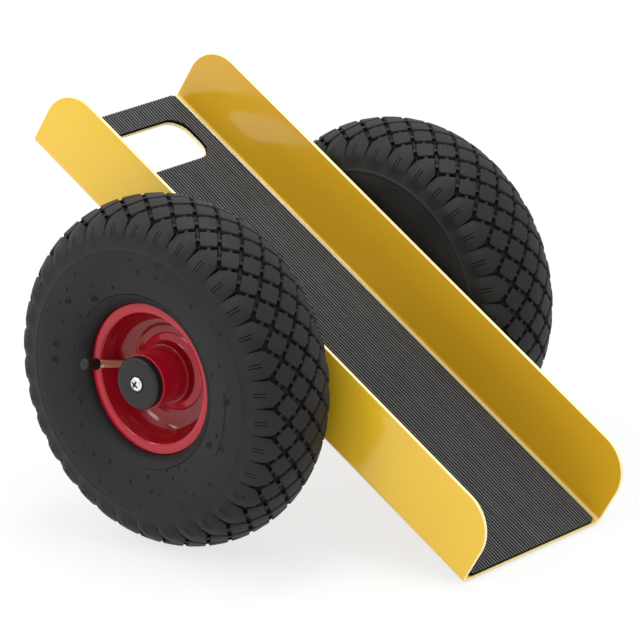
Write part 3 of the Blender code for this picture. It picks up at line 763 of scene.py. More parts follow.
tyre = {
    "radius": 0.132,
    "width": 0.085,
    "wall": 0.0055,
    "widestRadius": 0.0925,
    "lip": 0.0269,              # half the width over the rim's lips
    "beadTop": 0.0573,
    "beadSeat": 0.0511,
    "beadFace": 0.0243,
    "beadWidth": 0.006,
    "treadDepth": 0.0035,
    "repeats": 34,
    "weld": 0.00002,
    "rows": 6,
    "rowSpacing": 0.0096,
    "lugLength": 0.022,
    "grooveFloor": 0.0007,      # half widths of a groove, at its floor and at its mouth
    "grooveMouth": 0.0017,
    "edgeRounding": 0.0005,
    "cornerCut": 0.11,
    "flatMiddle": 0.45,
    "tieWidth": 0.0024,
    "tieHeight": 0.0023,
    "tieSunk": 0.0004,
    "tieReach": 0.62,           # in half widths of a groove's mouth
    "wedgeLeast": 0.3,          # of a groove's full width
    "wedgeClosing": 0.5,        # in rows
    "wedgeEnd": 4.25,           # in rows from the middle of the tread
    "lowerLines": (4.65, 5.0),
    "sipeStart": 3.45,
    "sipeEnd": 4.5,
    "sipeOffset": 0.115,        # in half pitches from the middle of a lug
    "sipeHalf": 0.034,
    "sipeSlant": 0.06,
    "sipeDepth": 0.0020,
    "scoopDepth": 0.0018,       # hollow in the shoulder around each wedge groove
    "scoopStart": (2.5, 3.3),
    "scoopSide": (0.42, 0.92),
    "scoopFade": 4.4,
    "lugFade": 3.9,
    "darkLift": (0.0004, 0.0030),
    "darkRows": (3.2, 3.7),
    "shoulderLine": 0.00025,
    "rimLineRadius": 0.066,
    "turn": math.radians(-3.4),
}
tyreHalf = tyre["width"] / 2
halfRows = tyre["rows"] // 2
shoulderEnd = halfRows + tyre["lugLength"] / tyre["rowSpacing"]
carcassHeight = tyre["radius"] - tyre["treadDepth"] - tyre["widestRadius"]
rowTurn = tyre["rowSpacing"] / ((tyreHalf + carcassHeight) / 2)
pitchTurn = 2 * math.pi / tyre["repeats"]
stepLength = pitchTurn / 2 * (tyre["radius"] - tyre["treadDepth"])
latticeStep = math.hypot(stepLength, tyre["rowSpacing"])    # between nodes of the tread's lattice
sideDistance = stepLength * tyre["rowSpacing"] / latticeStep


def eased(value, start, end):
    share = min(1.0, max(0.0, (value - start) / (end - start)))
    return share * share * (3.0 - 2.0 * share)


# The upper half of the tyre's section, lifted off the carcass, and the lower half down to the rim's
# lip, sunk into it. Both give (along, radius).
def upperWall(across, lift):
    return ((tyreHalf + lift) * math.sin(across),
            tyre["widestRadius"] + (carcassHeight + lift) * math.cos(across))


def lowerWall(angle, sink=0.0):
    return (tyre["lip"] + (tyreHalf - tyre["lip"]) * math.cos(angle) - sink,
            tyre["widestRadius"] + (tyre["widestRadius"] - tyre["beadTop"]) * math.sin(angle) - sink / 2)


def ringPoint(along, reach, step):
    angle = (step + 1.0) * pitchTurn / 2
    return (along, -reach * math.sin(angle), reach * math.cos(angle))


# The shoulder is hollowed around the wedge grooves, which leaves each lug standing as a knob
def shoulderScoop(row, step):
    side = abs((step + 1.0) % 2.0 - 1.0)
    along = eased(abs(row), *tyre["scoopStart"]) * (1.0 - eased(abs(row), tyre["scoopFade"], shoulderEnd))
    return tyre["scoopDepth"] * along * eased(side, *tyre["scoopSide"])


# A point of the tyre's outside: row and step on the tread's lattice, and the lift above the carcass
def treadPoint(row, step, lift=0.0):
    return ringPoint(*upperWall(row * rowTurn, lift - shoulderScoop(row, step)), step)


squareCorners = ((-1, -1), (1, -1), (1, 1), (-1, 1))


# The points and faces of one pitch
class PitchMesh:
    def __init__(self):
        self.points = []
        self.faces = []

    def add(self, point):
        self.points.append(point)
        return len(self.points) - 1

    def face(self, corners):
        self.faces.append(tuple(corners))

    def bridge(self, first, second, closed=True):
        self.faces += bridged(first, second, closed)


# Steps from a groove's middle to a block's top: distance from the middle of the groove, and lift
def blockSteps():
    depth = tyre["treadDepth"]
    edge = tyre["edgeRounding"]
    return ((0.0, 0.0), (tyre["grooveFloor"], 0.0), (tyre["grooveMouth"] - edge * 0.6, depth - edge),
            (tyre["grooveMouth"], depth))


def addDiamond(cell, row, step):
    cut = tyre["cornerCut"]
    corners = [(1.0, 0.0), (0.0, 1.0), (-1.0, 0.0), (0.0, -1.0)]
    outline = []
    for index, (a, b) in enumerate(corners):
        nextA, nextB = corners[(index + 1) % 4]
        for share in (cut, 1.0 - cut):
            outline.append((a + (nextA - a) * share, b + (nextB - b) * share))
    rings = []
    levels = [(1.0 - distance / sideDistance, lift) for distance, lift in blockSteps()]
    levels.append((tyre["flatMiddle"], tyre["treadDepth"]))
    for scale, lift in levels:
        rings.append([cell.add(treadPoint(row + a * scale, step + b * scale, lift)) for a, b in outline])
    for first, second in zip(rings, rings[1:]):
        cell.bridge(first, second)
    middle = cell.add(treadPoint(row, step, tyre["treadDepth"]))
    for index in range(len(outline)):
        cell.face((rings[-1][index], rings[-1][(index + 1) % len(outline)], middle))


# The small square where four blocks' cut corners meet
def addNodePatch(cell, row, step):
    cut = tyre["cornerCut"]
    cell.face([cell.add(treadPoint(row + a * cut, step + b * cut)) for a, b in squareCorners])


# A low bar across the groove, midway between two nodes of the lattice
def addTie(cell, row, step, nextRow, nextStep):
    alongRow, alongStep = nextRow - row, nextStep - step
    half = tyre["tieWidth"] / 2 / latticeStep
    over = tyre["tieReach"] * tyre["grooveMouth"] / sideDistance
    corners = []
    for lift in (-tyre["tieSunk"], tyre["tieHeight"]):
        for a, b in squareCorners:
            atRow = (row + nextRow) / 2 + alongRow * (half * a + over * b)
            atStep = (step + nextStep) / 2 + alongStep * (half * a - over * b)
            corners.append(cell.add(treadPoint(atRow, atStep, lift)))
    cell.bridge(corners[:4], corners[4:])
    cell.face(corners[:4])
    cell.face(corners[4:])


# How far a face is lifted, by its distance from the middle of a groove
def grooveLift(distance):
    steps = blockSteps()
    for (near, low), (far, high) in zip(steps, steps[1:]):
        if distance <= far:
            return low + (high - low) * max(0.0, distance - near) / (far - near)
    return steps[-1][1]


# The lugs beside the diamonds, down to where the sidewall starts. The first lines of points follow
# the diamonds' zigzag and the later ones run level. The sipes are sunk in the lines marked True.
def addShoulder(cell, sign):
    offsets = [distance for distance, lift in blockSteps()]
    sipe, half, slant = tyre["sipeOffset"], tyre["sipeHalf"], tyre["sipeSlant"]
    inner = [-0.5, -sipe - half, -sipe, -sipe + half, 0.0, sipe - half, sipe, sipe + half, 0.5]
    start, stop = tyre["sipeStart"], tyre["sipeEnd"]
    lines = [(1.0, offset / sideDistance, False) for offset in offsets]
    lines.append((0.5, (offsets[-1] / sideDistance + start) / 2, False))
    lines += [(0.0, start, False), (0.0, start + slant, True), (0.0, (start + stop) / 2, True),
              (0.0, stop - slant, True)]
    lines += [(0.0, level, False) for level in (stop, *tyre["lowerLines"], shoulderEnd)]
    grid = []
    for follow, base, sunk in lines:
        beyond = max(0.0, (follow - 1.0) * halfRows + base)
        wedge = max(tyre["wedgeLeast"], 1.0 - beyond / (tyre["wedgeEnd"] - halfRows))
        sides = [1.0 - offset * wedge / stepLength for offset in offsets]
        line = []
        for step in [-side for side in sides] + inner + sides[::-1]:
            corner = halfRows - 1 + abs(step)
            row = follow * corner + base
            sideLift = grooveLift((1.0 - abs(step)) * stepLength / wedge)
            closing = eased(row, tyre["wedgeEnd"] - tyre["wedgeClosing"], tyre["wedgeEnd"])
            sideLift += (tyre["treadDepth"] - sideLift) * closing
            lift = min(grooveLift((row - corner) * sideDistance), sideLift)
            lift *= 1.0 - eased(row, tyre["lugFade"], shoulderEnd)
            if sunk and abs(abs(step) - sipe) < half / 2:
                lift -= tyre["sipeDepth"]
            line.append(cell.add(treadPoint(sign * row, step, lift)))
        grid.append(line)
    for first, second in zip(grid, grid[1:]):
        cell.bridge(first, second, closed=False)
    return grid[-1]


# The sidewall from below the lugs to the bead and back inside, as (along, radius)
def sidewallProfile():
    end = shoulderEnd * rowTurn
    points = []
    for share in (0.16, 0.2, 0.26, 0.3, 0.55, 1.0):
        proud = tyre["shoulderLine"] if 0.18 < share < 0.28 else 0.0
        points.append(upperWall(end + (math.pi / 2 - end) * share, proud))
    points += [lowerWall(-math.pi / 2 * share) for share in (0.12, 0.24, 0.36, 0.46)]
    depth = tyre["widestRadius"] - tyre["beadTop"]
    ring = math.asin((tyre["rimLineRadius"] - tyre["widestRadius"]) / depth)
    points += [lowerWall(ring + offset, sink) for offset, sink in (
        (0.035, 0.0), (0.02, 0.0), (0.012, 0.0010), (-0.012, 0.0010), (-0.02, 0.0002), (-0.06, -0.0003))]
    points += [lowerWall(-math.pi / 2 * share) for share in (0.72, 0.84, 0.94, 1.0)]
    inside = tyre["beadFace"] - tyre["beadWidth"]
    points += [(tyre["beadFace"], tyre["beadTop"]), (tyre["beadFace"], tyre["beadSeat"])]
    points.append((inside, tyre["beadSeat"]))
    points += arcPoints((inside, tyre["widestRadius"]), (tyreHalf - tyre["wall"] - inside, depth), -90, 0, 5)
    return points + [upperWall(math.radians(across), -tyre["wall"]) for across in (60, 30)]


def addSidewalls(cell, outerLine, innerLine):
    steps = (-1.0, -0.5, 0.0, 0.5, 1.0)
    profile = sidewallProfile()
    middle = [(0.0, tyre["widestRadius"] + carcassHeight - tyre["wall"])]
    path = profile + middle + [(-along, reach) for along, reach in reversed(profile)]
    rings = [[cell.add(ringPoint(along, reach, step)) for step in steps] for along, reach in path]
    for line, ring in ((outerLine, rings[0]), (innerLine, rings[-1])):
        for index in range(4):
            cell.face(line[index * 4:index * 4 + 5] + [ring[index + 1], ring[index]])
    for first, second in zip(rings, rings[1:]):
        cell.bridge(first, second, closed=False)


def treadPitch():
    cell = PitchMesh()
    for row in range(-halfRows + 1, halfRows):
        addDiamond(cell, row, float((row + halfRows) % 2))
    for row in range(-halfRows + 1, halfRows):
        addNodePatch(cell, row, float((row + halfRows + 1) % 2))
    for row in range(-halfRows, halfRows):
        step = float((row + halfRows + 1) % 2)
        for side in (1.0, -1.0):
            addTie(cell, row, step, row + 1, step + side)
    addSidewalls(cell, addShoulder(cell, 1), addShoulder(cell, -1))
    return meshFrom("treadPitch", cell.points, cell.faces)


nubs = {
    "radius": 0.00125,
    "height": 0.0010,
    "sunk": 0.0004,
    "perSquareMetre": 3000.0,
    "apart": 0.0075,
    "leastSize": 0.7,
    "seed": {"left": 5, "right": 11},
    "bandWidth": 0.035,         # nubs stand where the sidewall is further out than this
    "bandStart": 4,             # lines of points left free below the lugs
    "rings": ((0.0703, 73.1), (0.0830, 88.2), (0.0806, 115.1), (0.0807, 123.6), (0.0862, -51.5),
              (0.0751, -80.1), (0.0869, -76.2)),     # distance from the axle, degrees around it
    "ringRadius": 0.0021,
    "ringWidth": 0.0004,
    "ringHeight": 0.0009,
    "ringEdge": 0.0002,
    "dotFoot": 0.0006,
    "dotTop": 0.0005,
    "line": (0.0842, -47.0, -82.0),    # distance from the axle, then from and to, in degrees
    "lineSteps": 24,
    "lineRadius": 0.0007,
}


# Small moulding nubs, strewn over both sidewalls
def ventNubs(side):
    low = nubs["radius"] * 1.15
    top = nubs["height"]
    foot = -nubs["sunk"]
    nub = turned("ventNub", [(foot, 0.0), (foot, low), (0.0, low), (top * 0.8, nubs["radius"]),
                             (top, nubs["radius"] * 0.6), (top, 0.0)], steps=10)
    nub.transform(Matrix.Rotation(-math.pi / 2, 4, "Y"))
    source = linked("ventNub", nub)
    band = [point for point in sidewallProfile() if point[0] > nubs["bandWidth"]][nubs["bandStart"]:]
    count = tyre["repeats"]
    points = [ringPoint(sign * along, reach, 2 * step)
              for sign in (1, -1) for along, reach in band for step in range(count)]
    rings = inRings(len(points), count)
    faces = []
    for index, (first, second) in enumerate(zip(rings, rings[1:])):
        if index != len(band) - 1:
            faces += [corners if index < len(band) else corners[::-1] for corners in bridged(first, second)]
    mesh = repeated("ventNubs", meshFrom("nubBand", points, faces), strewnCopies, {
        "Piece": source, "Per square metre": nubs["perSquareMetre"], "Apart": nubs["apart"],
        "Least size": nubs["leastSize"], "Seed": nubs["seed"][side], "Finish": finishes["tyre_rubber"]})
    removeObjects(source)
    return mesh


# Where something stands on the sidewall: X outwards from the rubber
def sidewallPlace(reach, angle):
    tall = tyre["widestRadius"] - tyre["beadTop"]
    low = math.asin((reach - tyre["widestRadius"]) / tall)
    tilt = math.atan2(-math.sin(low) / tall, math.cos(low) / (tyreHalf - tyre["lip"]))
    return (Matrix.Rotation(math.radians(angle), 4, "X") @ Matrix.Translation((lowerWall(low)[0], 0.0, reach))
            @ Matrix.Rotation(tilt, 4, "Y"))


# Plain moulded rings and a curved line, on the sidewall that the turn about Z brings them to
def mouldMarks(turn):
    foot = -nubs["sunk"]
    edge = nubs["ringEdge"]
    low, high = nubs["ringRadius"] - nubs["ringWidth"], nubs["ringRadius"] + nubs["ringWidth"]
    top = nubs["ringHeight"]
    marks = []
    for reach, angle in nubs["rings"]:
        for name, profile in (("mouldRing", [(foot, low), (foot, high), (top * 0.6, high), (top, high - edge),
                                             (top, low + edge), (top * 0.6, low)]),
                              ("mouldDot", [(foot, 0.0), (foot, nubs["dotFoot"]), (top, nubs["dotTop"]),
                                            (top, 0.0)])):
            marks.append(turned(name, profile, steps=20))
            marks[-1].transform(sidewallPlace(reach, angle))
    reach, start, end = nubs["line"]
    steps = nubs["lineSteps"]
    angles = [start + (end - start) * step / steps for step in range(steps + 1)]
    route = [sidewallPlace(reach, angle).to_translation() for angle in angles]
    marks.append(swept("mouldLine", route, [nubs["lineRadius"]] * len(route), sides=8))
    mesh = joined("mouldMarks", *marks)
    mesh.transform(Matrix.Rotation(turn, 4, "Z"))
    return mesh


# Painted shade in the tread's grooves, by how deep a point lies: none on the blocks, full on a groove's floor
def paintedGrooveShade(point):
    across = abs(point.x) / tyreHalf
    up = (math.hypot(point.y, point.z) - tyre["widestRadius"]) / carcassHeight
    if up <= 0.0:
        return 0.0
    lift = (math.hypot(across, up) - 1.0) * (tyreHalf + carcassHeight) / 2
    row = math.atan2(across, up) / rowTurn
    return (1.0 - eased(lift, *tyre["darkLift"])) * (1.0 - eased(row, *tyre["darkRows"]))


def buildTyre(side):
    place = findHub(side) @ Matrix.Rotation(tyre["turn"], 4, "X")
    ring = repeated("tyreRing", treadPitch(), ringOfCopies, {
        "Copies": tyre["repeats"], "Weld": tyre["weld"], "Finish": finishes["tyre_rubber"]})
    mesh = joined(side + "_tyre_tread", ring, ventNubs(side), mouldMarks(0.0), mouldMarks(math.pi))
    # Painted shade in the tread's grooves
    marked(smoothed(mesh, angle=38), "paintedGrooveShade", paintedGrooveShade)
    addPiece(side + "_air_tyre", mesh, "tyre_rubber", side + "_wheel", side + "_tyre", place)


for side in ("left", "right"):
    buildTyre(side)
print("tyres built")


# Rims, hubs, caps, screws and valves, in the wheel's own axes

rim = {
    "sheet": 0.002,
    "halfWidth": 0.0266,
    "lipRadius": 0.057,
    "seatRadius": 0.0508,
    "bowlDepth": 0.017,
    "jointRadius": 0.034,
    "stepRadius": 0.0293,
    "stepHeight": 0.0007,
    "dish": 0.0016,
    "bossRise": 0.0107,
    "collarRadius": 0.0225,
    "bowlSteps": 16,
    "bowlShadeFade": 0.6,
    "bowlShadeReach": (0.004, 0.0246),
    "lipMargin": 0.0004,
    "collarMargin": 0.0012,
}
hub = {
    "length": 0.070,
    "radius": 0.0206,
    "bore": 0.0166,
    "rounding": 0.0008,
}
valve = {
    "radius": 0.0435,
    "turn": math.radians(220.6),
    "sideLean": -0.239,
    "outLean": 0.04,
    "stemRadius": 0.0029,
    "tip": 0.0405,
    "bend": 0.006,
    "foot": 0.0142,
    "holeClearance": 0.00045,
    "drilled": (-0.003, 0.0266),
    "tipTaper": 0.0004,
    "threadTurns": 22,
    "threadStart": 0.04,        # in shares of the stem's straight part
    "threadReach": 0.30,
    "threadDepth": 0.00022,
    "capStart": 0.0345,
    "capLength": 0.0135,
    "capRadius": 0.0046,
    "capEdge": 0.0011,
    "flutes": 18,
    "fluteDepth": 0.0003,
    "fluted": (0.12, 0.86),     # in shares of the cap's length
}
axleEnd = {
    "axleRadius": 0.010,
    "axleEnd": 0.0371,
    "washerRadius": 0.017,
    "washerRounding": 0.0003,
    "outerWasher": (0.0353, 0.0368),
    "innerWasher": (-0.0373, -0.0353),
    "capRadius": 0.0198,
    "capBack": 0.0353,
    "capFront": 0.0418,
    "capRounding": 0.0030,
    "seatRadius": 0.0064,
    "seat": 0.0406,
    "screwRadius": 0.003,
    "screwLength": 0.018,
    "headRadius": 0.0055,
    "headHeight": 0.0036,
    "crossLength": 0.0066,
    "crossWidth": 0.0016,
    "crossDepth": 0.0026,
    "crossMargin": 0.001,
    "crossTaper": (0.7, 1.1),   # its size at the bottom and at the margin above the head
    "headFlat": 0.0010,
    "headEdge": 0.0002,
    "recessMargin": 0.0004,
    "recessReach": 0.6,
}


def rimProfile():
    size = rim
    front = gap / 2 + size["sheet"]
    seatFront = size["seatRadius"] - size["sheet"]
    centre = (front + size["bowlDepth"], size["jointRadius"])
    width = size["halfWidth"]
    hole = hub["radius"] + gap
    top = size["bossRise"]
    foot = front + size["stepHeight"] + size["dish"]
    corners = [(top, hole, 0.0), (top, size["collarRadius"], 0.0006),
               (foot, size["collarRadius"] + 0.0003, 0.0018),
               (front + size["stepHeight"], size["stepRadius"] - 0.0006, 0.0006),
               (front, size["stepRadius"] + 0.0002, 0.0006)]
    bowl = arcPoints(centre, (size["bowlDepth"], seatFront - size["jointRadius"]), 180, 90, size["bowlSteps"])
    corners += [(along, radius, 0.0) for along, radius in bowl]
    corners += [(width - size["sheet"] / 2, seatFront + 0.0002, 0.0014),
                (width, size["seatRadius"] + 0.0006, 0.0024), (width, size["lipRadius"], 0.0009),
                (width - size["sheet"], size["lipRadius"], 0.0005),
                (width - size["sheet"], size["seatRadius"], 0.0014)]
    outer = (size["bowlDepth"] + size["sheet"], size["seatRadius"] - size["jointRadius"])
    back = arcPoints(centre, outer, 90, 180, size["bowlSteps"])
    corners += [(along, radius, 0.0) for along, radius in back]
    corners += [(gap / 2, size["stepRadius"] - 0.0012, 0.002), (foot - size["sheet"], hole, 0.0)]
    return filleted(corners)


def valvePlace(along):
    outward, sideways = valveWays()
    return (Vector((along, 0.0, 0.0)) + outward * (valve["radius"] + valve["outLean"] * along)
            + sideways * valve["sideLean"] * along)


def valveWays():
    turn = valve["turn"]
    return Vector((0.0, math.cos(turn), math.sin(turn))), Vector((0.0, -math.sin(turn), math.cos(turn)))


def valveLean(along):
    direction = (valvePlace(1.0) - valvePlace(0.0)).normalized()
    return Matrix.Translation(valvePlace(along)) @ direction.to_track_quat("X", "Z").to_matrix().to_4x4()


# A thin rod that comes out of the inner tube, bends, and passes through the rim
def valveStemMesh():
    outward, sideways = valveWays()
    bend = valve["bend"]
    knee = valvePlace(-bend / 3)
    before = valvePlace(bend * 2 / 3)
    beyond = knee + outward * bend
    radius = valve["stemRadius"]
    start = valvePlace(valve["tip"])
    lead, thread = valve["threadStart"], valve["threadTurns"]
    route = [start, start.lerp(before, lead / 2), start.lerp(before, lead)]
    radii = [radius - valve["tipTaper"], radius, radius]
    for turn in range(1, thread + 1):
        route.append(start.lerp(before, lead + valve["threadReach"] * turn / thread))
        radii.append(radius - (valve["threadDepth"] if turn % 2 else 0.0))
    for step in range(9):
        share = step / 8
        route.append(before.lerp(knee, share).lerp(knee.lerp(beyond, share), share))
        radii.append(radius)
    route.append(knee + outward * valve["foot"])
    radii.append(radius)
    return swept("valveStem", route, radii, sides=28)


def valveCapMesh():
    bore = valve["stemRadius"] + gap
    depth = valve["tip"] - valve["capStart"] + 2 * gap
    radius = valve["capRadius"]
    length = valve["capLength"]
    edge = valve["capEdge"]
    profile = filleted([
        (depth, 0.0, 0.0), (depth, bore, 0.0), (0.0, bore, 0.0), (0.0, radius - edge / 2, 0.0),
        (edge * 0.6, radius, edge / 2), (length * 0.55, radius, 0.0), (length * 0.8, radius, 0.0),
        (length, radius - edge * 0.4, edge), (length, 0.0, 0.0)], closed=False)
    first, last = valve["fluted"]

    def flutes(along, angle):
        if not first * length < along < last * length:
            return 0.0
        return valve["fluteDepth"] * (0.5 - 0.5 * math.cos(valve["flutes"] * angle))
    return turned("valveCap", profile, steps=144, flutes=flutes)


def endCapMesh():
    size = axleEnd
    floor = size["axleEnd"] + gap
    room = size["washerRadius"] + gap
    bore = size["screwRadius"] + gap
    back, front, radius = size["capBack"], size["capFront"], size["capRadius"]
    return turned("endCap", filleted([
        (floor, bore, 0.0), (floor, room, 0.0), (back, room, 0.0003), (back, radius, 0.0004),
        (front, radius, size["capRounding"]), (front, size["seatRadius"], 0.0004),
        (size["seat"], size["seatRadius"], 0.0003), (size["seat"], bore, 0.0)], steps=6), steps=128)


def crossMesh():
    arm = axleEnd["crossLength"] / 2
    slot = axleEnd["crossWidth"] / 2
    top = axleEnd["seat"] + gap + axleEnd["headHeight"]
    outline = [(slot, slot), (slot, arm), (-slot, arm), (-slot, slot), (-arm, slot), (-arm, -slot),
               (-slot, -slot), (-slot, -arm), (slot, -arm), (slot, -slot), (arm, -slot), (arm, slot)]
    ends = zip((top - axleEnd["crossDepth"], top + axleEnd["crossMargin"]), axleEnd["crossTaper"])
    return lofted("screwCross", [[(along, a * scale, b * scale) for a, b in outline]
                                 for along, scale in ends])


def capScrewMesh():
    size = axleEnd
    start = size["seat"] + gap
    radius, height, flat, edge = size["headRadius"], size["headHeight"], size["headFlat"], size["headEdge"]
    tip = start - size["screwLength"]
    profile = [(tip, 0.0), (tip, size["screwRadius"]), (start, size["screwRadius"]),
               (start, radius - edge), (start + edge, radius)]
    profile += arcPoints((start + flat, 0.0), (height - flat, radius), 90, 0, 12)
    screw = turned("capScrew", profile[:-1] + [(start + height, 0.0)], steps=64)
    mesh = carved("capScrew", screw, crossMesh(), angle=34)
    floor = start + height - size["crossDepth"] + size["recessMargin"]
    reach = radius * size["recessReach"]

    # Painted shade in the cross recess
    def recess(point):
        return float(point.x < floor and math.hypot(point.y, point.z) < reach)
    return marked(mesh, "recess", recess)


# Painted shade in the bowl, darker towards its bottom; the lip and the flat ring inside the step get none
def bowlDepth(point):
    reach = math.hypot(point.y, point.z)
    onRing = rim["collarRadius"] + rim["collarMargin"] < reach < rim["stepRadius"]
    if onRing or reach > rim["seatRadius"] - rim["lipMargin"]:
        return 0.0
    return 1.0 - rim["bowlShadeFade"] * eased(point.x, *rim["bowlShadeReach"])


def rimHalfMesh(drilled):
    mesh = turned("rimHalf", rimProfile(), steps=136)
    if drilled:
        hole = valve["stemRadius"] + valve["holeClearance"]
        start, end = valve["drilled"]
        drill = turned("valveDrill", [(start, 0.0), (start, hole), (end, hole), (end, 0.0)], steps=24)
        drill.transform(valveLean(0.0))
        mesh = carved("rimHalf", mesh, drill)
    # Painted shade in the bowl
    return marked(mesh, "bowlDepth", bowlDepth)


def ringBand(name, start, end, bore, radius, rounding, steps=96):
    return turned(name, filleted([(start, bore, rounding), (start, radius, rounding), (end, radius, rounding),
                                  (end, bore, rounding)]), steps)


def buildWheel(side):
    body = side + "_wheel"
    place = findHub(side) @ Matrix.Rotation(tyre["turn"], 4, "X")
    for position, turn in (("outer", 0.0), ("inner", math.pi)):
        addPiece(f"{side}_{position}_rim", rimHalfMesh(position == "outer"), "red_enamel", body,
                 f"{side}_rim_{position}_half", place @ Matrix.Rotation(turn, 4, "Z"))
    reach = hub["length"] / 2
    tube = ringBand("hubTube", -reach, reach, hub["bore"], hub["radius"], hub["rounding"], steps=128)
    addPiece(side + "_hub", tube, "red_enamel", body, side + "_hub_tube", place)
    addPiece(side + "_valve", valveStemMesh(), "brass", body, side + "_valve_stem", place)
    addPiece(side + "_dust_cap", valveCapMesh(), "black_plastic", body, side + "_valve_cap",
             place @ valveLean(valve["capStart"]))


def buildAxleEnd(side):
    place = findHub(side)
    size = axleEnd
    body = "dolly_frame"
    addPiece(side + "_hub_cap", endCapMesh(), "black_plastic", body, side + "_end_cap", place)
    addPiece(side + "_screw", capScrewMesh(), "zinc_plate", body, side + "_cap_screw", place)
    for name, (start, end) in (("outer", size["outerWasher"]), ("inner", size["innerWasher"])):
        washer = ringBand("washer", start, end, size["axleRadius"] + gap, size["washerRadius"],
                          size["washerRounding"], steps=72)
        addPiece(f"{side}_{name}_thrust_ring", washer, "zinc_plate", body, f"{side}_{name}_washer", place)


for side in ("left", "right"):
    buildWheel(side)
    buildAxleEnd(side)
print("rims, hubs, caps and valves built")


# Axle bar and the tube that carries it, welded under the deck

axle = {
    "tubeHalf": 0.0950,
    "tubeBore": 0.0103,
    "tubeRadius": 0.0118,
    "tubeRounding": 0.0004,
    "weldLength": 0.150,
    "weldDeckReach": 0.0115,
    "weldTubeReach": 0.0092,
    "ripple": 0.0028,
    "rippleHeight": 0.00035,
    "bulge": 0.00035,
    "rippleSteps": 6,
    "weldEnding": 8,            # the bead is full from an eighth of its length on
}


# A bead of weld in the corner between tube and deck, with the ripples of its puddles
def weldBeadMesh():
    root = axle["tubeRadius"] + gap
    start = math.acos((axle["tubeRadius"] - gap / 2) / root)
    toe = math.asin(axle["weldTubeReach"] / root)
    tubeToe = Vector((math.sin(toe), math.cos(toe))) * root
    deckToe = Vector((axle["weldDeckReach"], axle["tubeRadius"]))
    outward = Vector((deckToe.y - tubeToe.y, tubeToe.x - deckToe.x)).normalized()
    count = int(axle["weldLength"] / axle["ripple"] * axle["rippleSteps"])
    foot = [start + (toe - start) * step / 4 for step in range(5)]
    foot = [Vector((math.sin(angle), math.cos(angle))) * root for angle in foot]
    rings = []
    for index in range(count + 1):
        share = index / count
        along = (share - 0.5) * axle["weldLength"]
        wave = abs(math.sin(math.pi * along / axle["ripple"]))
        ending = min(1.0, axle["weldEnding"] * share, axle["weldEnding"] * (1.0 - share))
        bulge = (axle["bulge"] + axle["rippleHeight"] * wave) * ending
        face = [tubeToe.lerp(deckToe, part) + outward * bulge * math.sin(math.pi * part)
                for part in (0.2, 0.4, 0.6, 0.8)]
        rings.append([(along, point.x, point.y) for point in foot + face + [deckToe]])
    return smoothed(lofted("weldBead", rings), angle=50)


def buildAxle():
    centre = (Vector(joints["left_wheel"]["pos_m"]) + Vector(joints["right_wheel"]["pos_m"])) / 2
    place = Matrix.Translation(centre) @ Matrix.Rotation(trayTilt, 4, "X")
    half = axle["tubeHalf"]
    tube = ringBand("axleTube", -half, half, axle["tubeBore"], axle["tubeRadius"], axle["tubeRounding"])
    addPiece("axle_sleeve", tube, "yellow_powder_coat", "dolly_frame", "axle_tube", place)
    end = (Vector(joints["right_wheel"]["pos_m"]).x - centre.x) + axleEnd["axleEnd"]
    bore = axleEnd["screwRadius"] + gap
    floor = end - axleEnd["axleEnd"] + axleEnd["seat"] - axleEnd["screwLength"]
    bar = turned("axleBar", filleted([
        (-floor, 0.0, 0.0), (-floor, bore, 0.0), (-end, bore, 0.0003), (-end, axleEnd["axleRadius"], 0.0008),
        (end, axleEnd["axleRadius"], 0.0008), (end, bore, 0.0003), (floor, bore, 0.0), (floor, 0.0, 0.0)],
        closed=False))
    addPiece("axle_rod", bar, "zinc_plate", "dolly_frame", "axle_bar", place)
    for name, turn in (("upper", 0.0), ("lower", math.pi)):
        addPiece(name + "_weld_bead", weldBeadMesh(), "yellow_powder_coat", "dolly_frame",
                 name + "_axle_weld", place @ Matrix.Rotation(turn, 4, "Z"))


buildAxle()
print("axle built")


# Floor, light and camera

camera = {
    "place": (-2.7636, -2.3273, 1.2527),
    "lookAt": (-0.0048, 0.0018, 0.1450),
    "roll": math.radians(-1.17),
    "lens": 285.86,
}


def addCamera():
    data = bpy.data.cameras.new("photoCamera")
    data.sensor_width = 36.0
    data.lens = camera["lens"]
    data.clip_end = 60.0
    view = linked("photoCamera", data)
    place = Vector(camera["place"])
    aim = (Vector(camera["lookAt"]) - place).to_track_quat("-Z", "Y").to_matrix().to_4x4()
    view.matrix_world = Matrix.Translation(place) @ aim @ Matrix.Rotation(camera["roll"], 4, "Z")
    bpy.context.scene.camera = view


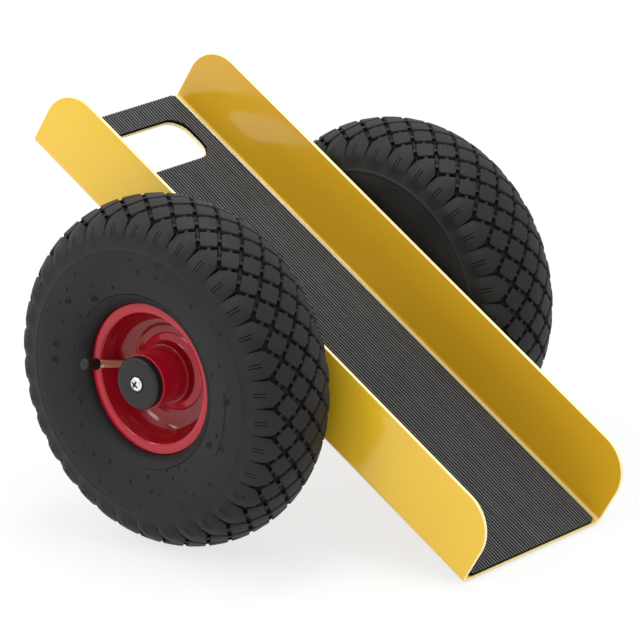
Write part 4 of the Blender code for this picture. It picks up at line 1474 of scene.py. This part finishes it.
studio = {
    "floorSize": 30.0,
    "floorColour": (0.86, 0.86, 0.86),
    "floorGlow": 0.75,
    "worldStrength": 0.90,
}
lamps = (
    # name, place, aimed at, width and height, power
    ("overheadSoftbox", (0.1, 0.1, 2.6), (0.0, 0.0, 0.1), (1.0, 1.0), 26.0),
    ("leftSoftbox", (-2.9, 0.7, 2.3), (0.0, 0.0, 0.1), (1.0, 1.0), 17.0),
    ("backSoftbox", (-1.9, 2.5, 2.5), (0.0, 0.0, 0.1), (1.0, 0.8), 16.0),
)


def addFloor():
    half = studio["floorSize"] / 2
    mesh = meshFrom("studioFloor", [(half * a, half * b, 0.0) for a, b in squareCorners], [(0, 1, 2, 3)])
    material = bpy.data.materials.new("studioFloor")
    material.use_nodes = True
    tree = material.node_tree
    shader = tree.nodes["Principled BSDF"]
    for label, value in (("Base Color", (*studio["floorColour"], 1.0)), ("Roughness", 0.8),
                         ("Specular IOR Level", 0.1)):
        shader.inputs[label].default_value = value
    glow = addNode(tree, "ShaderNodeEmission", {"Color": (1.0, 1.0, 1.0, 1.0), "Strength": 1.0})
    path = addNode(tree, "ShaderNodeLightPath").outputs
    seen = mathNode(tree, "MAXIMUM", path["Is Camera Ray"], path["Is Glossy Ray"])
    mix = addNode(tree, "ShaderNodeMixShader", {0: mathNode(tree, "MULTIPLY", seen, studio["floorGlow"]),
                                                1: shader.outputs[0], 2: glow.outputs[0]})
    tree.links.new(mix.outputs[0], tree.nodes["Material Output"].inputs["Surface"])
    floor = linkPiece("studioFloor", mesh, material)


def addWorld():
    world = bpy.data.worlds.new("studioWorld")
    world.use_nodes = True
    around = world.node_tree.nodes["Background"]
    around.inputs["Color"].default_value = (1.0, 1.0, 1.0, 1.0)
    around.inputs["Strength"].default_value = studio["worldStrength"]
    bpy.context.scene.world = world


def addLamps():
    for name, place, aim, size, power in lamps:
        data = bpy.data.lights.new(name, "AREA")
        data.shape = "RECTANGLE"
        data.size, data.size_y = size
        data.energy = power
        lamp = linked(name, data)
        lamp.location = place
        lamp.rotation_euler = (Vector(aim) - Vector(place)).to_track_quat("-Z", "Y").to_euler()


addCamera()
addFloor()
addWorld()
addLamps()
bpy.context.scene.view_settings.view_transform = "Standard"
print("studio set")
